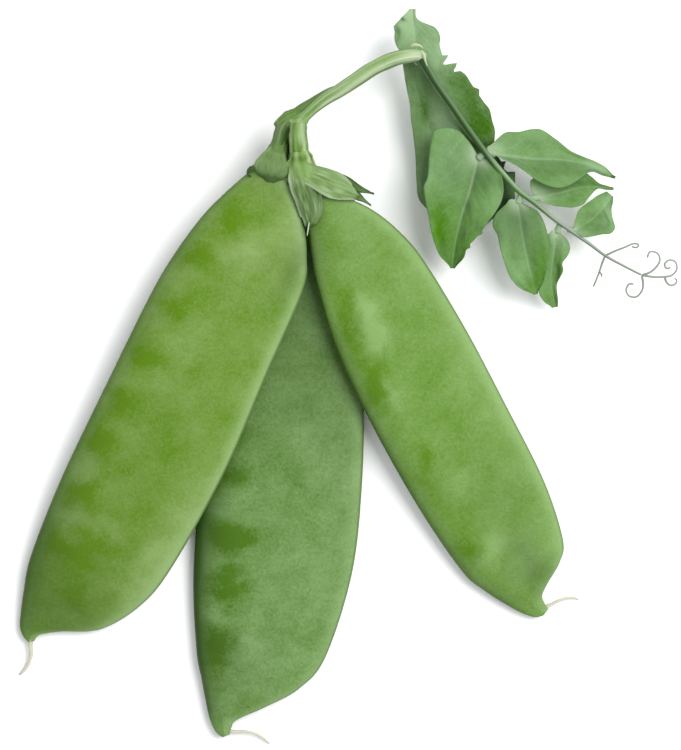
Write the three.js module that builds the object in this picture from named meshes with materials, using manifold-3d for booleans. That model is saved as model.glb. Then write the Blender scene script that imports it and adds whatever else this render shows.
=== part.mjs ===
// A sprig of snow peas, in millimetres, +Z up, lying on a flat surface at z = 0.
// Three flat pods hang from one forked stalk, each in its calyx and with the dried
// style still on its tip. At the stalk's foot grow two stipules and a compound leaf:
// a rachis with six leaflets that ends in tendrils. The pods' tips point to -Y.
// The middle pod lies flat; the left and right ones lean on it from above.

import * as THREE from 'three';
import { LoftGeometry } from 'three/addons/geometries/LoftGeometry.js';
import { mergeVertices } from 'three/addons/utils/BufferGeometryUtils.js';
import Module from 'manifold-3d';

const wasm = await Module();
wasm.setup();

// ---- Driving dimensions ----

const BLADE = 0.6; // thickness of leaf blades and sepals
const BLADE_END = 0.2; // half-width where a blade starts and ends
const RIPPLE_LAG = 2; // radians by which a blade's right margin ripples after its left
const MERGE_DISTANCE = 1e-3; // points nearer than this are one
const GROUND_REACH = 400; // sides of the block that stands for the ground

const POD_RIBS = 30;
const POD_SIDES = 16;
const POD_BELLY = 2.45; // half the thickness of a pod at its middle
const POD_RIM = 0.75; // half the thickness just inside its edges
const POD_FULLNESS = 2.4; // how far out across the pod the belly stays full
const POD_SHOULDER = 0.6; // how steeply it drops to the rim
const NECK_TAPER = 0.16; // part of the length over which the pod thickens
const TIP_TAPER = 0.12; // part of the length over which it thins to the beak
const NECK_THICKNESS = 0.5; // of the belly, at the neck
const TIP_THICKNESS = 0.28; // of the belly, at the beak

const SEED_SPACING = 9.5;
const SEED_BUMP = 0.4; // height of the rise over a seed
const SEED_REACH = 3.2; // how far that rise spreads

// Each pod is drawn in its own frame: x from neck to beak, y from the seed edge
// (where the seeds hang) to the back edge. The two edges have paired points.
// heights are those of its middle plane, from neck to beak; roll lifts the back edge.
const PODS = {
  left: {
    neck: [-14.8, 37.5],
    heading: -116.7,
    seedEdge: [[0.4, -0.8], [2.8, -2.2], [7.4, -4.1], [12.8, -5.9], [20.4, -7.3], [29.4, -8.0], [48.3, -7.9],
      [66.4, -7.6], [81.0, -6.4], [87.3, -4.8], [91.2, -3.5], [93.6, -2.5], [94.9, -1.2], [95.4, 0.1]],
    backEdge: [[-0.6, 0.9], [0.2, 3.5], [2.5, 7.3], [6.2, 10.7], [11.1, 13.8], [17.1, 16.0], [32.9, 16.9],
      [52.1, 18.0], [71.4, 17.2], [80.2, 15.3], [87.4, 10.8], [91.1, 4.5], [93.3, 1.4], [94.8, 1.0]],
    heights: [10.3, 9.1, 8.0, 6.8, 5.2, 3.0, 1.2],
    roll: 6,
    seeds: { count: 9, first: [10.5, -2.6], bow: -2.2 },
  },
  middle: {
    neck: [-5.5, 31.0],
    heading: -99.8,
    seedEdge: [[0.2, -0.9], [2.7, -2.8], [6.5, -4.9], [11.9, -7.0], [19.2, -9.1], [35.6, -11.5], [52.9, -12.2],
      [69.5, -10.7], [82.6, -7.9], [87.4, -6.2], [91.2, -4.8], [94.4, -3.5], [96.6, -2.0], [97.4, -0.6]],
    backEdge: [[0.2, 0.9], [2.3, 2.8], [6.4, 4.9], [11.9, 7.1], [18.2, 9.5], [32.6, 13.8], [48.0, 16.3],
      [64.2, 17.3], [79.9, 15.2], [86.4, 11.5], [90.7, 6.1], [93.8, 1.5], [95.3, 0.7], [96.7, 0.6]],
    heights: [3.3, 2.5, 2.5, 2.6, 2.6, 2.5, 1.6],
    roll: 0,
    seeds: { count: 8, first: [13.5, -3.0], bow: -3.4 },
  },
  right: {
    neck: [-6.0, 32.7],
    heading: -61.2,
    seedEdge: [[0.0, -1.2], [2.1, -3.2], [5.5, -4.4], [9.5, -6.0], [14.6, -7.7], [26.9, -10.2], [42.4, -11.1],
      [58.4, -10.9], [71.9, -9.6], [76.9, -7.8], [81.0, -5.6], [83.9, -3.7], [85.6, -2.1], [86.1, -0.6]],
    backEdge: [[0.1, 1.4], [3.4, 4.3], [7.7, 7.4], [13.2, 9.7], [19.9, 11.1], [34.1, 11.8], [49.2, 11.6],
      [64.7, 10.8], [75.9, 8.7], [79.1, 6.6], [81.3, 3.0], [82.8, 1.0], [84.2, 0.7], [85.5, 0.8]],
    heights: [10.3, 8.9, 7.5, 6.1, 4.6, 2.85, 1.3],
    roll: 0,
    seeds: { count: 7, first: [11.0, -2.6], bow: -3.6 },
  },
};

// Stems are routes of [x, y, z] points with the radii they taper through.
const STEM_SIDES = 8;
const STALK = {
  peduncle: {
    route: [[12.3, 56.7, 12.6], [9.1, 55.8, 12.9], [5.5, 54.6, 13.0], [2.0, 52.9, 12.9], [-1.5, 50.8, 12.5],
      [-4.7, 48.6, 12.0], [-7.4, 46.6, 11.4], [-9.3, 45.0, 10.9]],
    radii: [1.5, 1.35, 1.25, 1.25, 1.25, 1.3, 1.9, 2.1],
  },
  scar: { route: [[-10.6, 44.4, 10.6], [-12.7, 45.0, 10.4]], radii: [1.8, 1.0] },
  pedicelRight: {
    route: [[-8.1, 45.7, 11.3], [-8.8, 43.6, 11.5], [-8.8, 41.0, 11.4], [-8.6, 38.9, 11.2]],
    radii: [1.9, 1.5, 1.5, 1.7],
  },
  pedicelLeft: {
    route: [[-10.2, 45.4, 10.8], [-11.6, 43.9, 10.4], [-12.2, 42.4, 10.2], [-12.7, 41.0, 10.1]],
    radii: [1.9, 1.5, 1.5, 1.8],
  },
  pedicelMiddle: {
    route: [[-9.2, 45.3, 10.0], [-10.4, 42.6, 7.0], [-9.3, 39.2, 4.4], [-7.8, 36.7, 3.5]],
    radii: [1.7, 1.4, 1.3, 1.3],
  },
};

// A calyx is a cup at the pedicel's end, with sepals that lie on the pod. Each sepal
// is a blade with its midrib's points and its widest half-width.
const CUP_HEIGHT = 0.8; // of its width
const CALYXES = {
  left: {
    cup: [[-12.9, 40.5, 10.1], [-13.3, 39.5, 10.1], [-13.9, 38.5, 10.2]],
    radii: [1.9, 2.5, 2.8],
    sepals: [
      { midrib: [[-13.6, 39.4, 11.6], [-14.2, 37.8, 12.7], [-14.8, 35.8, 13.2], [-15.4, 34.2, 13.3]], half: 2.1 },
      { midrib: [[-14.4, 38.9, 11.5], [-15.8, 37.8, 12.5], [-16.9, 37.2, 12.7], [-18.0, 36.7, 12.6]], half: 0.8 },
      { midrib: [[-12.9, 39.3, 11.4], [-12.5, 37.6, 12.4], [-12.2, 35.8, 13.0], [-12.4, 34.2, 13.2]], half: 1.5 },
      { midrib: [[-14.2, 39.2, 8.8], [-15.0, 37.2, 7.8], [-16.2, 34.8, 7.1], [-17.2, 32.8, 6.6]], half: 1.9 },
      { midrib: [[-12.9, 39.2, 8.8], [-12.4, 37.0, 7.8], [-12.2, 34.8, 7.3], [-12.6, 32.6, 7.0]], half: 1.6 },
    ],
  },
  middle: {
    cup: [[-7.4, 35.9, 3.4], [-6.9, 34.8, 3.3], [-6.0, 32.2, 3.3]],
    radii: [1.6, 2.1, 2.1],
    sepals: [
      { midrib: [[-6.6, 34.2, 4.3], [-5.6, 31.6, 5.4], [-5.0, 28.8, 5.8], [-5.2, 25.8, 5.9]], half: 1.9 },
      { midrib: [[-7.2, 34.4, 4.0], [-8.3, 31.8, 4.8], [-9.6, 29.6, 5.3], [-11.2, 27.0, 5.6]], half: 1.3 },
      { midrib: [[-6.0, 34.2, 4.0], [-3.6, 32.4, 4.6], [-1.8, 30.2, 5.1], [0.4, 28.2, 5.4]], half: 1.3 },
    ],
  },
  right: {
    cup: [[-8.5, 38.5, 11.2], [-8.2, 36.8, 11.1], [-7.2, 34.9, 10.7], [-6.4, 33.4, 10.4]],
    radii: [1.8, 2.6, 2.8, 2.3],
    sepals: [
      { midrib: [[-8.3, 36.2, 12.6], [-8.2, 33.2, 13.2], [-7.9, 29.6, 13.1], [-7.2, 24.9, 12.5]], half: 1.9 },
      { midrib: [[-6.8, 36.0, 12.3], [-4.5, 34.3, 13.0], [-1.1, 32.5, 12.8], [2.7, 30.8, 11.5]], half: 2.3 },
      { midrib: [[-5.8, 36.4, 10.8], [-2.2, 34.9, 10.7], [1.4, 32.9, 10.2], [4.5, 32.1, 9.9]], half: 1.2 },
      { midrib: [[-6.8, 36.0, 9.5], [-3.4, 34.0, 8.3], [0.2, 32.0, 7.5], [4.0, 30.2, 7.1]], half: 1.5 },
      { midrib: [[-8.1, 35.9, 9.5], [-7.4, 33.0, 8.1], [-6.6, 29.8, 7.3], [-6.0, 26.2, 6.8]], half: 1.5 },
    ],
  },
};
const SEPAL_ROWS = 6;
const SEPAL_COLUMNS = 2;
const SEPAL_SHAPE = [0.55, 0.85, 1.0, 0.95, 0.75, 0.45, 0.1]; // of its half-width, from root to point
const SEPAL_FORM = { fold: -0.12, wave: 0.1, waves: 1.5, lobes: [0, 0] };

// The dried styles: thin threads that leave the beaks and curl to the surface.
const STYLE_SIDES = 5;
const STYLE_RADII = [0.5, 0.45, 0.4, 0.35, 0.25];
const STYLES = {
  left: [[-57.3, -48.2, 1.3], [-57.1, -49.6, 1.2], [-57.3, -51.1, 1.0], [-58.0, -52.5, 0.7], [-59.3, -53.8, 0.5]],
  middle: [[-20.8, -64.2, 1.5], [-19.2, -63.9, 1.4], [-17.2, -64.1, 1.1], [-15.4, -65.1, 0.8], [-14.2, -66.2, 0.5]],
  right: [[36.4, -41.3, 1.3], [37.6, -40.3, 1.3], [39.2, -39.9, 1.1], [40.7, -39.9, 0.8], [41.4, -40.6, 0.5]],
};

// Blades: a midrib of [x, y, z] points from base to tip, and half-widths at equal
// steps along it, on its left and right hand when walking to the tip. fold lifts the
// sides as a share of their width, waves ripple the margins by wave millimetres, and
// lobes are how far the left and right halves reach back behind the base.
const LOBE_REACH = 0.25; // part of the blade's length that a lobe draws back
const LOBE_ROUNDNESS = 0.78; // of a half turn, from the midrib to the margin
const LEAFLET_ROWS = 14;
const BLADE_COLUMNS = 4;
const LEAFLETS = [
  {
    midrib: [[23.0, 38.9, 10.8], [21.5, 33.0, 10.6], [20.1, 28.6, 9.9], [18.9, 23.3, 8.6], [18.5, 19.2, 7.2]],
    left: [2.0, 4.5, 5.6, 5.9, 5.5, 4.9, 4.2, 3.3, 2.0, 1.5, 0.2],
    right: [8.9, 8.7, 8.2, 7.9, 8.0, 6.9, 5.7, 4.8, 3.7, 2.6, 0.3],
    fold: 0.08, wave: 0.3, waves: 2.5, lobes: [0, 3.7],
  },
  {
    midrib: [[24.9, 39.5, 11.2], [28.6, 39.0, 11.4], [33.0, 38.5, 11.5], [38.3, 38.3, 11.2], [42.8, 37.4, 10.5],
      [47.4, 35.3, 9.4]],
    left: [1.2, 3.9, 4.4, 5.2, 5.2, 3.7, 1.9, 1.2, 1.0, 0.8, 0.0],
    right: [0.0, 0.7, 1.4, 2.6, 4.2, 5.0, 4.8, 3.4, 1.1, 0.8, 0.3],
    fold: -0.08, wave: 0.25, waves: 2, lobes: [0.6, 0],
  },
  {
    midrib: [[30.1, 30.8, 9.6], [30.8, 25.6, 9.2], [31.9, 20.3, 8.1], [33.5, 14.6, 6.4]],
    left: [0.7, 3.0, 3.9, 4.3, 4.4, 4.5, 4.1, 3.4, 2.6, 1.6, 0.2],
    right: [1.8, 4.2, 5.0, 4.4, 4.4, 4.3, 4.1, 3.9, 3.4, 2.4, 0.5],
    fold: 0.05, wave: 0.2, waves: 2, lobes: [0, 0.8],
  },
  {
    midrib: [[33.2, 31.7, 9.0], [37.6, 32.6, 8.6], [42.1, 33.7, 8.2], [47.2, 33.3, 7.6]],
    left: [3.2, 4.0, 4.3, 4.2, 4.1, 3.8, 3.1, 1.9, 0.7, 0.4, 0.2],
    right: [0.0, 1.1, 2.0, 2.5, 3.1, 3.2, 2.9, 1.7, 0.2, 0.2, 0.2],
    fold: 0.04, wave: 0.2, waves: 2, lobes: [0.5, 0],
  },
  {
    midrib: [[37.1, 25.9, 7.9], [36.6, 21.6, 6.6], [36.2, 17.1, 5.2], [37.0, 12.3, 3.6]],
    left: [0.3, 2.0, 2.7, 2.5, 1.7, 2.0, 1.6, 1.0, 0.8, 0.7, 0.5],
    right: [0.9, 2.0, 1.7, 1.5, 1.5, 1.6, 1.8, 2.3, 2.4, 1.8, 0.6],
    fold: 0.2, wave: 0.3, waves: 2.5, lobes: [0, 0],
  },
  {
    midrib: [[39.8, 25.7, 7.9], [42.1, 27.1, 7.8], [44.4, 28.9, 7.3], [47.1, 32.1, 6.2]],
    left: [0.0, 1.1, 2.0, 2.6, 2.8, 2.8, 2.7, 2.5, 2.3, 1.9, 1.4],
    right: [0.0, 1.6, 2.3, 2.8, 3.3, 4.1, 3.9, 2.3, 1.3, 0.8, 0.2],
    fold: 0.08, wave: 0.25, waves: 2, lobes: [0, 0],
  },
];
const PETIOLULE_RADII = [0.5, 0.55, 0.35];
const PETIOLULE_FORM = { sides: 5, segments: 4 };
const PETIOLULES = [
  [[24.4, 39.4, 11.5], [23.2, 38.6, 11.1], [22.7, 36.6, 10.8]],
  [[24.1, 39.7, 11.6], [25.3, 39.5, 11.4], [27.4, 39.2, 11.4]],
  [[30.9, 32.4, 10.1], [30.2, 30.8, 9.8], [30.4, 28.8, 9.5]],
  [[32.2, 31.4, 9.8], [33.4, 31.7, 9.2], [35.2, 32.0, 8.9]],
  [[37.6, 27.2, 8.5], [37.1, 26.0, 8.1], [36.9, 24.2, 7.5]],
  [[38.9, 26.2, 8.2], [40.0, 25.8, 8.0], [41.4, 26.6, 7.9]],
];

const RACHIS = {
  route: [[13.5, 55.2, 12.4], [15.1, 52.4, 12.5], [18.3, 47.8, 12.4], [21.5, 43.2, 12.0], [24.1, 39.7, 11.6],
    [27.2, 36.0, 11.0], [30.0, 33.0, 10.3], [33.1, 30.7, 9.6], [36.3, 28.1, 8.8], [39.6, 25.8, 8.0],
    [43.0, 23.5, 6.9], [45.8, 21.5, 5.9], [49.2, 19.7, 4.6], [52.5, 18.1, 3.4]],
  radii: [0.75, 0.65, 0.6, 0.6, 0.6, 0.55, 0.55, 0.5, 0.5, 0.45, 0.45, 0.45, 0.4, 0.4],
};
const RACHIS_SIDES = 6;

const TENDRIL_SIDES = 5;
const TENDRIL_RADII = [0.4, 0.35, 0.35];
const TENDRIL_STEP = 1.0; // millimetres between the rings of a tendril
const TENDRILS = [
  [[45.8, 21.5, 5.9], [47.5, 22.3, 6.3], [49.3, 23.0, 6.8], [50.7, 23.5, 7.2], [51.7, 23.4, 7.2]],
  [[45.8, 21.5, 5.9], [45.3, 20.2, 5.3], [44.8, 18.6, 4.6], [44.3, 17.2, 4.0], [43.8, 15.9, 3.4]],
  [[52.5, 18.1, 3.4], [54.0, 18.6, 3.6], [55.2, 19.7, 3.8], [55.7, 20.9, 4.0], [55.2, 22.0, 4.1],
    [53.9, 22.2, 4.1], [53.4, 21.1, 4.0]],
  [[52.5, 18.1, 3.4], [52.8, 16.5, 2.8], [52.6, 15.3, 2.4], [51.6, 14.2, 2.0], [50.3, 14.4, 1.8],
    [49.8, 15.4, 1.8], [50.3, 16.5, 2.0], [51.2, 16.5, 2.1]],
  [[52.5, 18.1, 3.4], [54.4, 17.8, 2.8], [56.4, 17.8, 2.3], [58.0, 18.1, 2.0], [58.9, 19.2, 1.9],
    [58.6, 20.5, 2.0], [57.5, 20.8, 2.2], [56.7, 20.1, 2.3]],
  [[56.7, 17.8, 2.3], [57.0, 16.9, 2.0], [57.7, 16.3, 1.8], [58.6, 16.5, 1.7]],
];

// The stipules clasp the stalk's foot: one under the rachis, the other lower down.
// Each tooth is [hand, place along the midrib, half its width along it, depth].
const STIPULE_ROWS = 34;
const STIPULES = {
  upper: {
    midrib: [[11.4, 65.3, 9.0], [11.6, 61.6, 9.7], [12.4, 57.4, 10.1], [15.1, 52.8, 10.3], [18.3, 48.0, 10.0],
      [21.5, 43.4, 9.3], [24.5, 39.8, 8.4]],
    left: [0.0, 0.7, 3.7, 4.4, 4.0, 3.7, 3.3, 4.1, 5.0, 5.0, 5.0, 5.0, 5.1, 4.4, 3.6, 1.9],
    right: [0.0, 2.5, 3.5, 3.6, 2.6, 1.2, 1.0, 0.9, 0.9, 0.9, 0.9, 0.9, 0.9, 0.8, 0.6, 0.2],
    fold: 0.16, wave: 0.3, waves: 3, lobes: [0, 0],
    teeth: [['left', 0.39, 0.03, 1.2], ['left', 0.455, 0.03, 1.1], ['left', 0.66, 0.03, 0.6],
      ['right', 0.1, 0.03, 0.5]],
  },
  lower: {
    midrib: [[10.8, 56.5, 8.4], [12.7, 49.3, 7.3], [15.6, 41.3, 5.8], [19.9, 33.3, 4.2], [25.1, 27.5, 3.0]],
    left: [0.0, 1.8, 2.8, 3.7, 4.6, 5.4, 6.2, 6.9, 7.9, 8.6, 8.8, 8.4, 8.7, 6.3],
    right: [1.4, 1.6, 1.8, 2.0, 2.6, 3.1, 3.8, 4.8, 6.0, 7.1, 6.6, 6.0, 4.5, 0.0],
    fold: 0.03, wave: 0.3, waves: 3, lobes: [0, 0],
    teeth: [['left', 0.8, 0.03, 0.9], ['left', 0.9, 0.03, 0.7]],
  },
};

// ---- Materials ----

const finish = (color, roughness) => new THREE.MeshStandardMaterial({ color, roughness, metalness: 0 });
const podSkin = finish(0x6fa046, 0.45);
const stemSkin = finish(0x86ab5e, 0.55);
const calyxSkin = finish(0x7d9c62, 0.65);
const leafSkin = finish(0x5f8f4c, 0.6);
const driedSkin = finish(0xcfc4a0, 0.8);

// ---- Making solids ----

const vector = (point) => new THREE.Vector3(...point);

// A smooth run of numbers, read at t from 0 to 1.
function runOf(values) {
  const curve = new THREE.SplineCurve(values.map((value, i) => new THREE.Vector2(i, value)));
  return (t) => curve.getPoint(t).y;
}

function solidOf(geometry) {
  const bare = new THREE.BufferGeometry();
  bare.setAttribute('position', geometry.getAttribute('position'));
  bare.setIndex(geometry.getIndex());
  const merged = mergeVertices(bare, MERGE_DISTANCE);
  return new wasm.Manifold(new wasm.Mesh({
    numProp: 3,
    vertProperties: new Float32Array(merged.getAttribute('position').array),
    triVerts: new Uint32Array(merged.getIndex().array),
  }));
}

function geometryOf(solid) {
  const mesh = solid.getMesh();
  const geometry = new THREE.BufferGeometry();
  geometry.setAttribute('position', new THREE.BufferAttribute(mesh.vertProperties, 3));
  geometry.setIndex(new THREE.BufferAttribute(mesh.triVerts, 1));
  geometry.computeVertexNormals();
  return geometry;
}

const joined = (geometries) => geometryOf(geometries.map(solidOf).reduce((sum, solid) => sum.add(solid)));

// What lies above the surface, with a small flat spot where the solid dipped into it.
function restedOnSurface(geometry) {
  const ground = new THREE.BoxGeometry(GROUND_REACH, GROUND_REACH, GROUND_REACH);
  ground.translate(0, 0, -GROUND_REACH / 2);
  return geometryOf(solidOf(geometry).subtract(solidOf(ground)));
}

// A stem along a route, tapering through its radii. flatness squeezes it in height.
function stemGeometry(route, radii, { sides = STEM_SIDES, segments = 2 * route.length, flatness = 1 } = {}) {
  const curve = new THREE.CatmullRomCurve3(route.map(vector), false, 'centripetal');
  const frames = curve.computeFrenetFrames(segments);
  const radius = runOf(radii);
  const sections = [];
  for (let i = 0; i <= segments; i++) {
    const centre = curve.getPointAt(i / segments);
    const r = radius(i / segments);
    sections.push(Array.from({ length: sides }, (_, j) => {
      const angle = (2 * Math.PI * j) / sides;
      const offset = frames.normals[i].clone().multiplyScalar(r * Math.cos(angle));
      offset.addScaledVector(frames.binormals[i], r * Math.sin(angle));
      offset.z *= flatness;
      return offset.add(centre);
    }));
  }
  return new LoftGeometry(sections, { closed: true, capStart: true, capEnd: true });
}

// A closed sheet of even thickness on the surface at(u, v), with u from 0 to 1 along
// it and v from -1 to 1 across it. Both faces are split into triangles alike.
function sheetGeometry(rows, columns, at) {
  const width = columns + 1;
  const layer = width * (rows + 1);
  const positions = [];
  for (const lift of [BLADE / 2, -BLADE / 2]) {
    for (let i = 0; i <= rows; i++) {
      for (let j = 0; j <= columns; j++) {
        const point = at(i / rows, (2 * j) / columns - 1);
        positions.push(point.x, point.y, point.z + lift);
      }
    }
  }
  const faces = [];
  for (let i = 0; i < rows; i++) {
    for (let j = 0; j < columns; j++) {
      const [a, b, c, d] = [i * width + j, (i + 1) * width + j, (i + 1) * width + j + 1, i * width + j + 1];
      faces.push(a, b, c, a, c, d);
      faces.push(a + layer, c + layer, b + layer, a + layer, d + layer, c + layer);
    }
  }
  const rim = [];
  for (let i = 0; i < rows; i++) rim.push(i * width);
  for (let j = 0; j < columns; j++) rim.push(rows * width + j);
  for (let i = rows; i > 0; i--) rim.push(i * width + columns);
  for (let j = columns; j > 0; j--) rim.push(j);
  rim.forEach((from, k) => {
    const to = rim[(k + 1) % rim.length];
    faces.push(from + layer, to + layer, to, from + layer, to, from);
  });
  const geometry = new THREE.BufferGeometry();
  geometry.setAttribute('position', new THREE.Float32BufferAttribute(positions, 3));
  geometry.setIndex(faces);
  return geometry;
}

// How far the teeth on one hand stand out of the margin at u.
function toothAt(teeth, hand, u) {
  return teeth
    .filter((tooth) => tooth[0] === hand)
    .reduce((sum, [, place, half, depth]) => sum + depth * Math.max(0, 1 - Math.abs(u - place) / half), 0);
}

function bladeGeometry({ midrib, left, right, fold, wave, waves, lobes, teeth = [] }, rows, columns) {
  const curve = new THREE.CatmullRomCurve3(midrib.map(vector), false, 'centripetal');
  const hands = { left: runOf(left), right: runOf(right) };
  return sheetGeometry(rows, columns, (u, v) => {
    const hand = v > 0 ? 'left' : 'right';
    const half = Math.max(BLADE_END, hands[hand](u)) + toothAt(teeth, hand, u);
    const tangent = curve.getTangentAt(u);
    const side = new THREE.Vector3(-tangent.y, tangent.x, 0).normalize();
    const lobe = lobes[v > 0 ? 0 : 1] * Math.max(0, 1 - u / LOBE_REACH) ** 2;
    const back = lobe * Math.sin(LOBE_ROUNDNESS * Math.PI * Math.abs(v));
    const point = curve.getPointAt(u).addScaledVector(side, v * half).addScaledVector(tangent, -back);
    const ripple = wave * v * v * Math.sin(2 * Math.PI * waves * u + (v > 0 ? 0 : RIPPLE_LAG));
    point.z += fold * Math.abs(v) * half + ripple;
    return point;
  });
}

// ---- Sub-parts ----

// A pod: ribs between its paired edges, full in the belly and thin at both edges,
// with a rise over every seed.
function podGeometry({ seedEdge, backEdge, heights, roll, seeds }) {
  const plan = (edge) => new THREE.SplineCurve(edge.map(([x, y]) => new THREE.Vector2(x, y)));
  const edges = { seed: plan(seedEdge), back: plan(backEdge) };
  const height = runOf(heights);
  const length = seedEdge.at(-1)[0];
  const slope = Math.tan(THREE.MathUtils.degToRad(roll));
  const seedRow = Array.from({ length: seeds.count }, (_, k) => {
    const share = k / (seeds.count - 1);
    const bow = 4 * share * (1 - share) * seeds.bow;
    return new THREE.Vector2(seeds.first[0] + k * SEED_SPACING, seeds.first[1] + bow);
  });
  const swell = (t) => {
    const neck = NECK_THICKNESS + (1 - NECK_THICKNESS) * THREE.MathUtils.smoothstep(t, 0, NECK_TAPER);
    const tip = TIP_THICKNESS + (1 - TIP_THICKNESS) * THREE.MathUtils.smoothstep(1 - t, 0, TIP_TAPER);
    return Math.min(neck, tip);
  };
  const sections = [];
  for (let i = 0; i <= POD_RIBS; i++) {
    const t = i / POD_RIBS;
    const seedPoint = edges.seed.getPoint(t);
    const backPoint = edges.back.getPoint(t);
    const centre = seedPoint.clone().add(backPoint).divideScalar(2);
    const arm = backPoint.clone().sub(centre);
    const along = THREE.MathUtils.clamp(centre.x / length, 0, 1);
    const belly = POD_BELLY * swell(along);
    const rim = Math.min(POD_RIM, belly);
    sections.push(Array.from({ length: POD_SIDES }, (_, j) => {
      const angle = (2 * Math.PI * j) / POD_SIDES;
      const across = Math.cos(angle);
      const atEdge = j % (POD_SIDES / 2) === 0;
      const point = centre.clone().addScaledVector(arm, across);
      const full = (1 - Math.abs(across) ** POD_FULLNESS) ** POD_SHOULDER;
      const bumps = seedRow.reduce((sum, seed) => {
        return sum + SEED_BUMP * Math.exp(-((point.distanceTo(seed) / SEED_REACH) ** 2));
      }, 0);
      const half = atEdge ? 0 : rim + (belly - rim) * full + bumps * full;
      const middle = height(along) + slope * (1 - along) * point.y;
      return new THREE.Vector3(point.x, point.y, middle + Math.sign(Math.sin(angle)) * half);
    }));
  }
  return new LoftGeometry(sections, { closed: true, capStart: true, capEnd: true });
}

// A calyx: a flattened cup, with its sepals rooted in it.
function calyxGeometry({ cup, radii, sepals }) {
  const body = stemGeometry(cup, radii, { flatness: CUP_HEIGHT });
  const blades = sepals.map(({ midrib, half }) => {
    const halves = SEPAL_SHAPE.map((share) => share * half);
    return bladeGeometry({ midrib, left: halves, right: halves, ...SEPAL_FORM }, SEPAL_ROWS, SEPAL_COLUMNS);
  });
  return joined([body, ...blades]);
}

function stalkGeometry() {
  return joined(Object.values(STALK).map(({ route, radii }) => stemGeometry(route, radii)));
}

// The compound leaf: leaflets on their petiolules, and tendrils, all grown from the rachis.
function leafGeometry() {
  const rachis = stemGeometry(RACHIS.route, RACHIS.radii, { sides: RACHIS_SIDES });
  const leaflets = LEAFLETS.map((leaflet) => bladeGeometry(leaflet, LEAFLET_ROWS, BLADE_COLUMNS));
  const petiolules = PETIOLULES.map((route) => stemGeometry(route, PETIOLULE_RADII, PETIOLULE_FORM));
  const tendrils = TENDRILS.map((route) => {
    const length = new THREE.CatmullRomCurve3(route.map(vector), false, 'centripetal').getLength();
    const segments = Math.round(length / TENDRIL_STEP);
    return stemGeometry(route, TENDRIL_RADII, { sides: TENDRIL_SIDES, segments });
  });
  return joined([rachis, ...leaflets, ...petiolules, ...tendrils]);
}

// ---- The sprig ----

function part(name, geometry, material) {
  const mesh = new THREE.Mesh(geometry, material);
  mesh.name = name;
  return mesh;
}

const sprig = new THREE.Group();
sprig.add(part('stalk', stalkGeometry(), stemSkin));

for (const [place, shape] of Object.entries(PODS)) {
  const pod = part(`pod_${place}`, restedOnSurface(podGeometry(shape)), podSkin);
  pod.position.set(shape.neck[0], shape.neck[1], 0);
  pod.rotation.z = THREE.MathUtils.degToRad(shape.heading);
  sprig.add(pod);
  sprig.add(part(`calyx_${place}`, calyxGeometry(CALYXES[place]), calyxSkin));
  const style = stemGeometry(STYLES[place], STYLE_RADII, { sides: STYLE_SIDES });
  sprig.add(part(`style_${place}`, style, driedSkin));
}

for (const [place, shape] of Object.entries(STIPULES)) {
  sprig.add(part(`stipule_${place}`, bladeGeometry(shape, STIPULE_ROWS, BLADE_COLUMNS), leafSkin));
}
sprig.add(part('compound_leaf', leafGeometry(), leafSkin));

export default sprig;
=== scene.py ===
# A sprig of snow peas on a pale table: three flat pods on a forked stalk, each with its
# calyx and dried style, and at the stalk's foot two stipules and a compound leaf that
# ends in tendrils. Shapes are worked out in millimetres and scaled to metres.

import math

import bmesh
import bpy
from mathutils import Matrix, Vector, noise
from mathutils.bvhtree import BVHTree
from mathutils.kdtree import KDTree


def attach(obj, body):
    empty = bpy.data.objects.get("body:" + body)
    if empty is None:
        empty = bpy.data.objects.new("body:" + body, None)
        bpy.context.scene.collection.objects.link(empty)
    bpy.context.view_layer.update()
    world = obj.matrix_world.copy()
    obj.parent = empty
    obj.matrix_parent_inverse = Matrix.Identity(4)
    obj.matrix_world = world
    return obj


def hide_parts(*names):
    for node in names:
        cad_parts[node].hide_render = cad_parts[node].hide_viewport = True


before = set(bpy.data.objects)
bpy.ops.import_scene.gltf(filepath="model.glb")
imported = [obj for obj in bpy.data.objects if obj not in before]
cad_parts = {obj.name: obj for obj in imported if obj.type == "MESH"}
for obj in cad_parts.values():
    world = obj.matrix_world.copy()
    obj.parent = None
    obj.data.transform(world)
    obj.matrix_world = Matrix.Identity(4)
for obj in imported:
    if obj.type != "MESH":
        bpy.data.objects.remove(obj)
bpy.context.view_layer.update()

NOISE_SEED = 1  # for how the edges of marks stray, which is random unless it is set
noise.seed_set(NOISE_SEED)

# ---- The pods ----
# A pod is two fleshy walls grown together at a seed edge and a back edge, and swollen
# a little over each flat young seed. Pale wax covers its green skin, and is thin over
# the seeds. Each hangs by its neck; the middle one lies flat under the other two.

POD_AROUND = 96
POD_ALONG = 300
POD_BELLY = 2.45  # half the thickness of a pod at its middle
POD_RIM = 0.75  # half the thickness just inside its edges
POD_FULLNESS = 2.4  # how far out across the pod the belly stays full
POD_SHOULDER = 0.68  # how steeply it drops to the rim
RIM_ROUNDNESS = 24  # how tightly the rim turns over at the edges
NECK_TAPER, NECK_THICKNESS = 0.16, 0.5
TIP_TAPER, TIP_THICKNESS = 0.12, 0.28
POD_END = 0.006  # part of the length over which each end closes
SEED_REACH = 3.6  # how far the rise over a seed spreads
SEAM_WIDTH = 0.3  # of the dark line along both edges
SEAM_SEED, SEAM_BACK = 0.75, 0.55  # how dark it is along each
BAND_WIDTH = 1.8  # of the pale strip along the back edge, partly painted highlight
SHADE_WIDTH = 2  # of the painted shade along the seed edge
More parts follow.
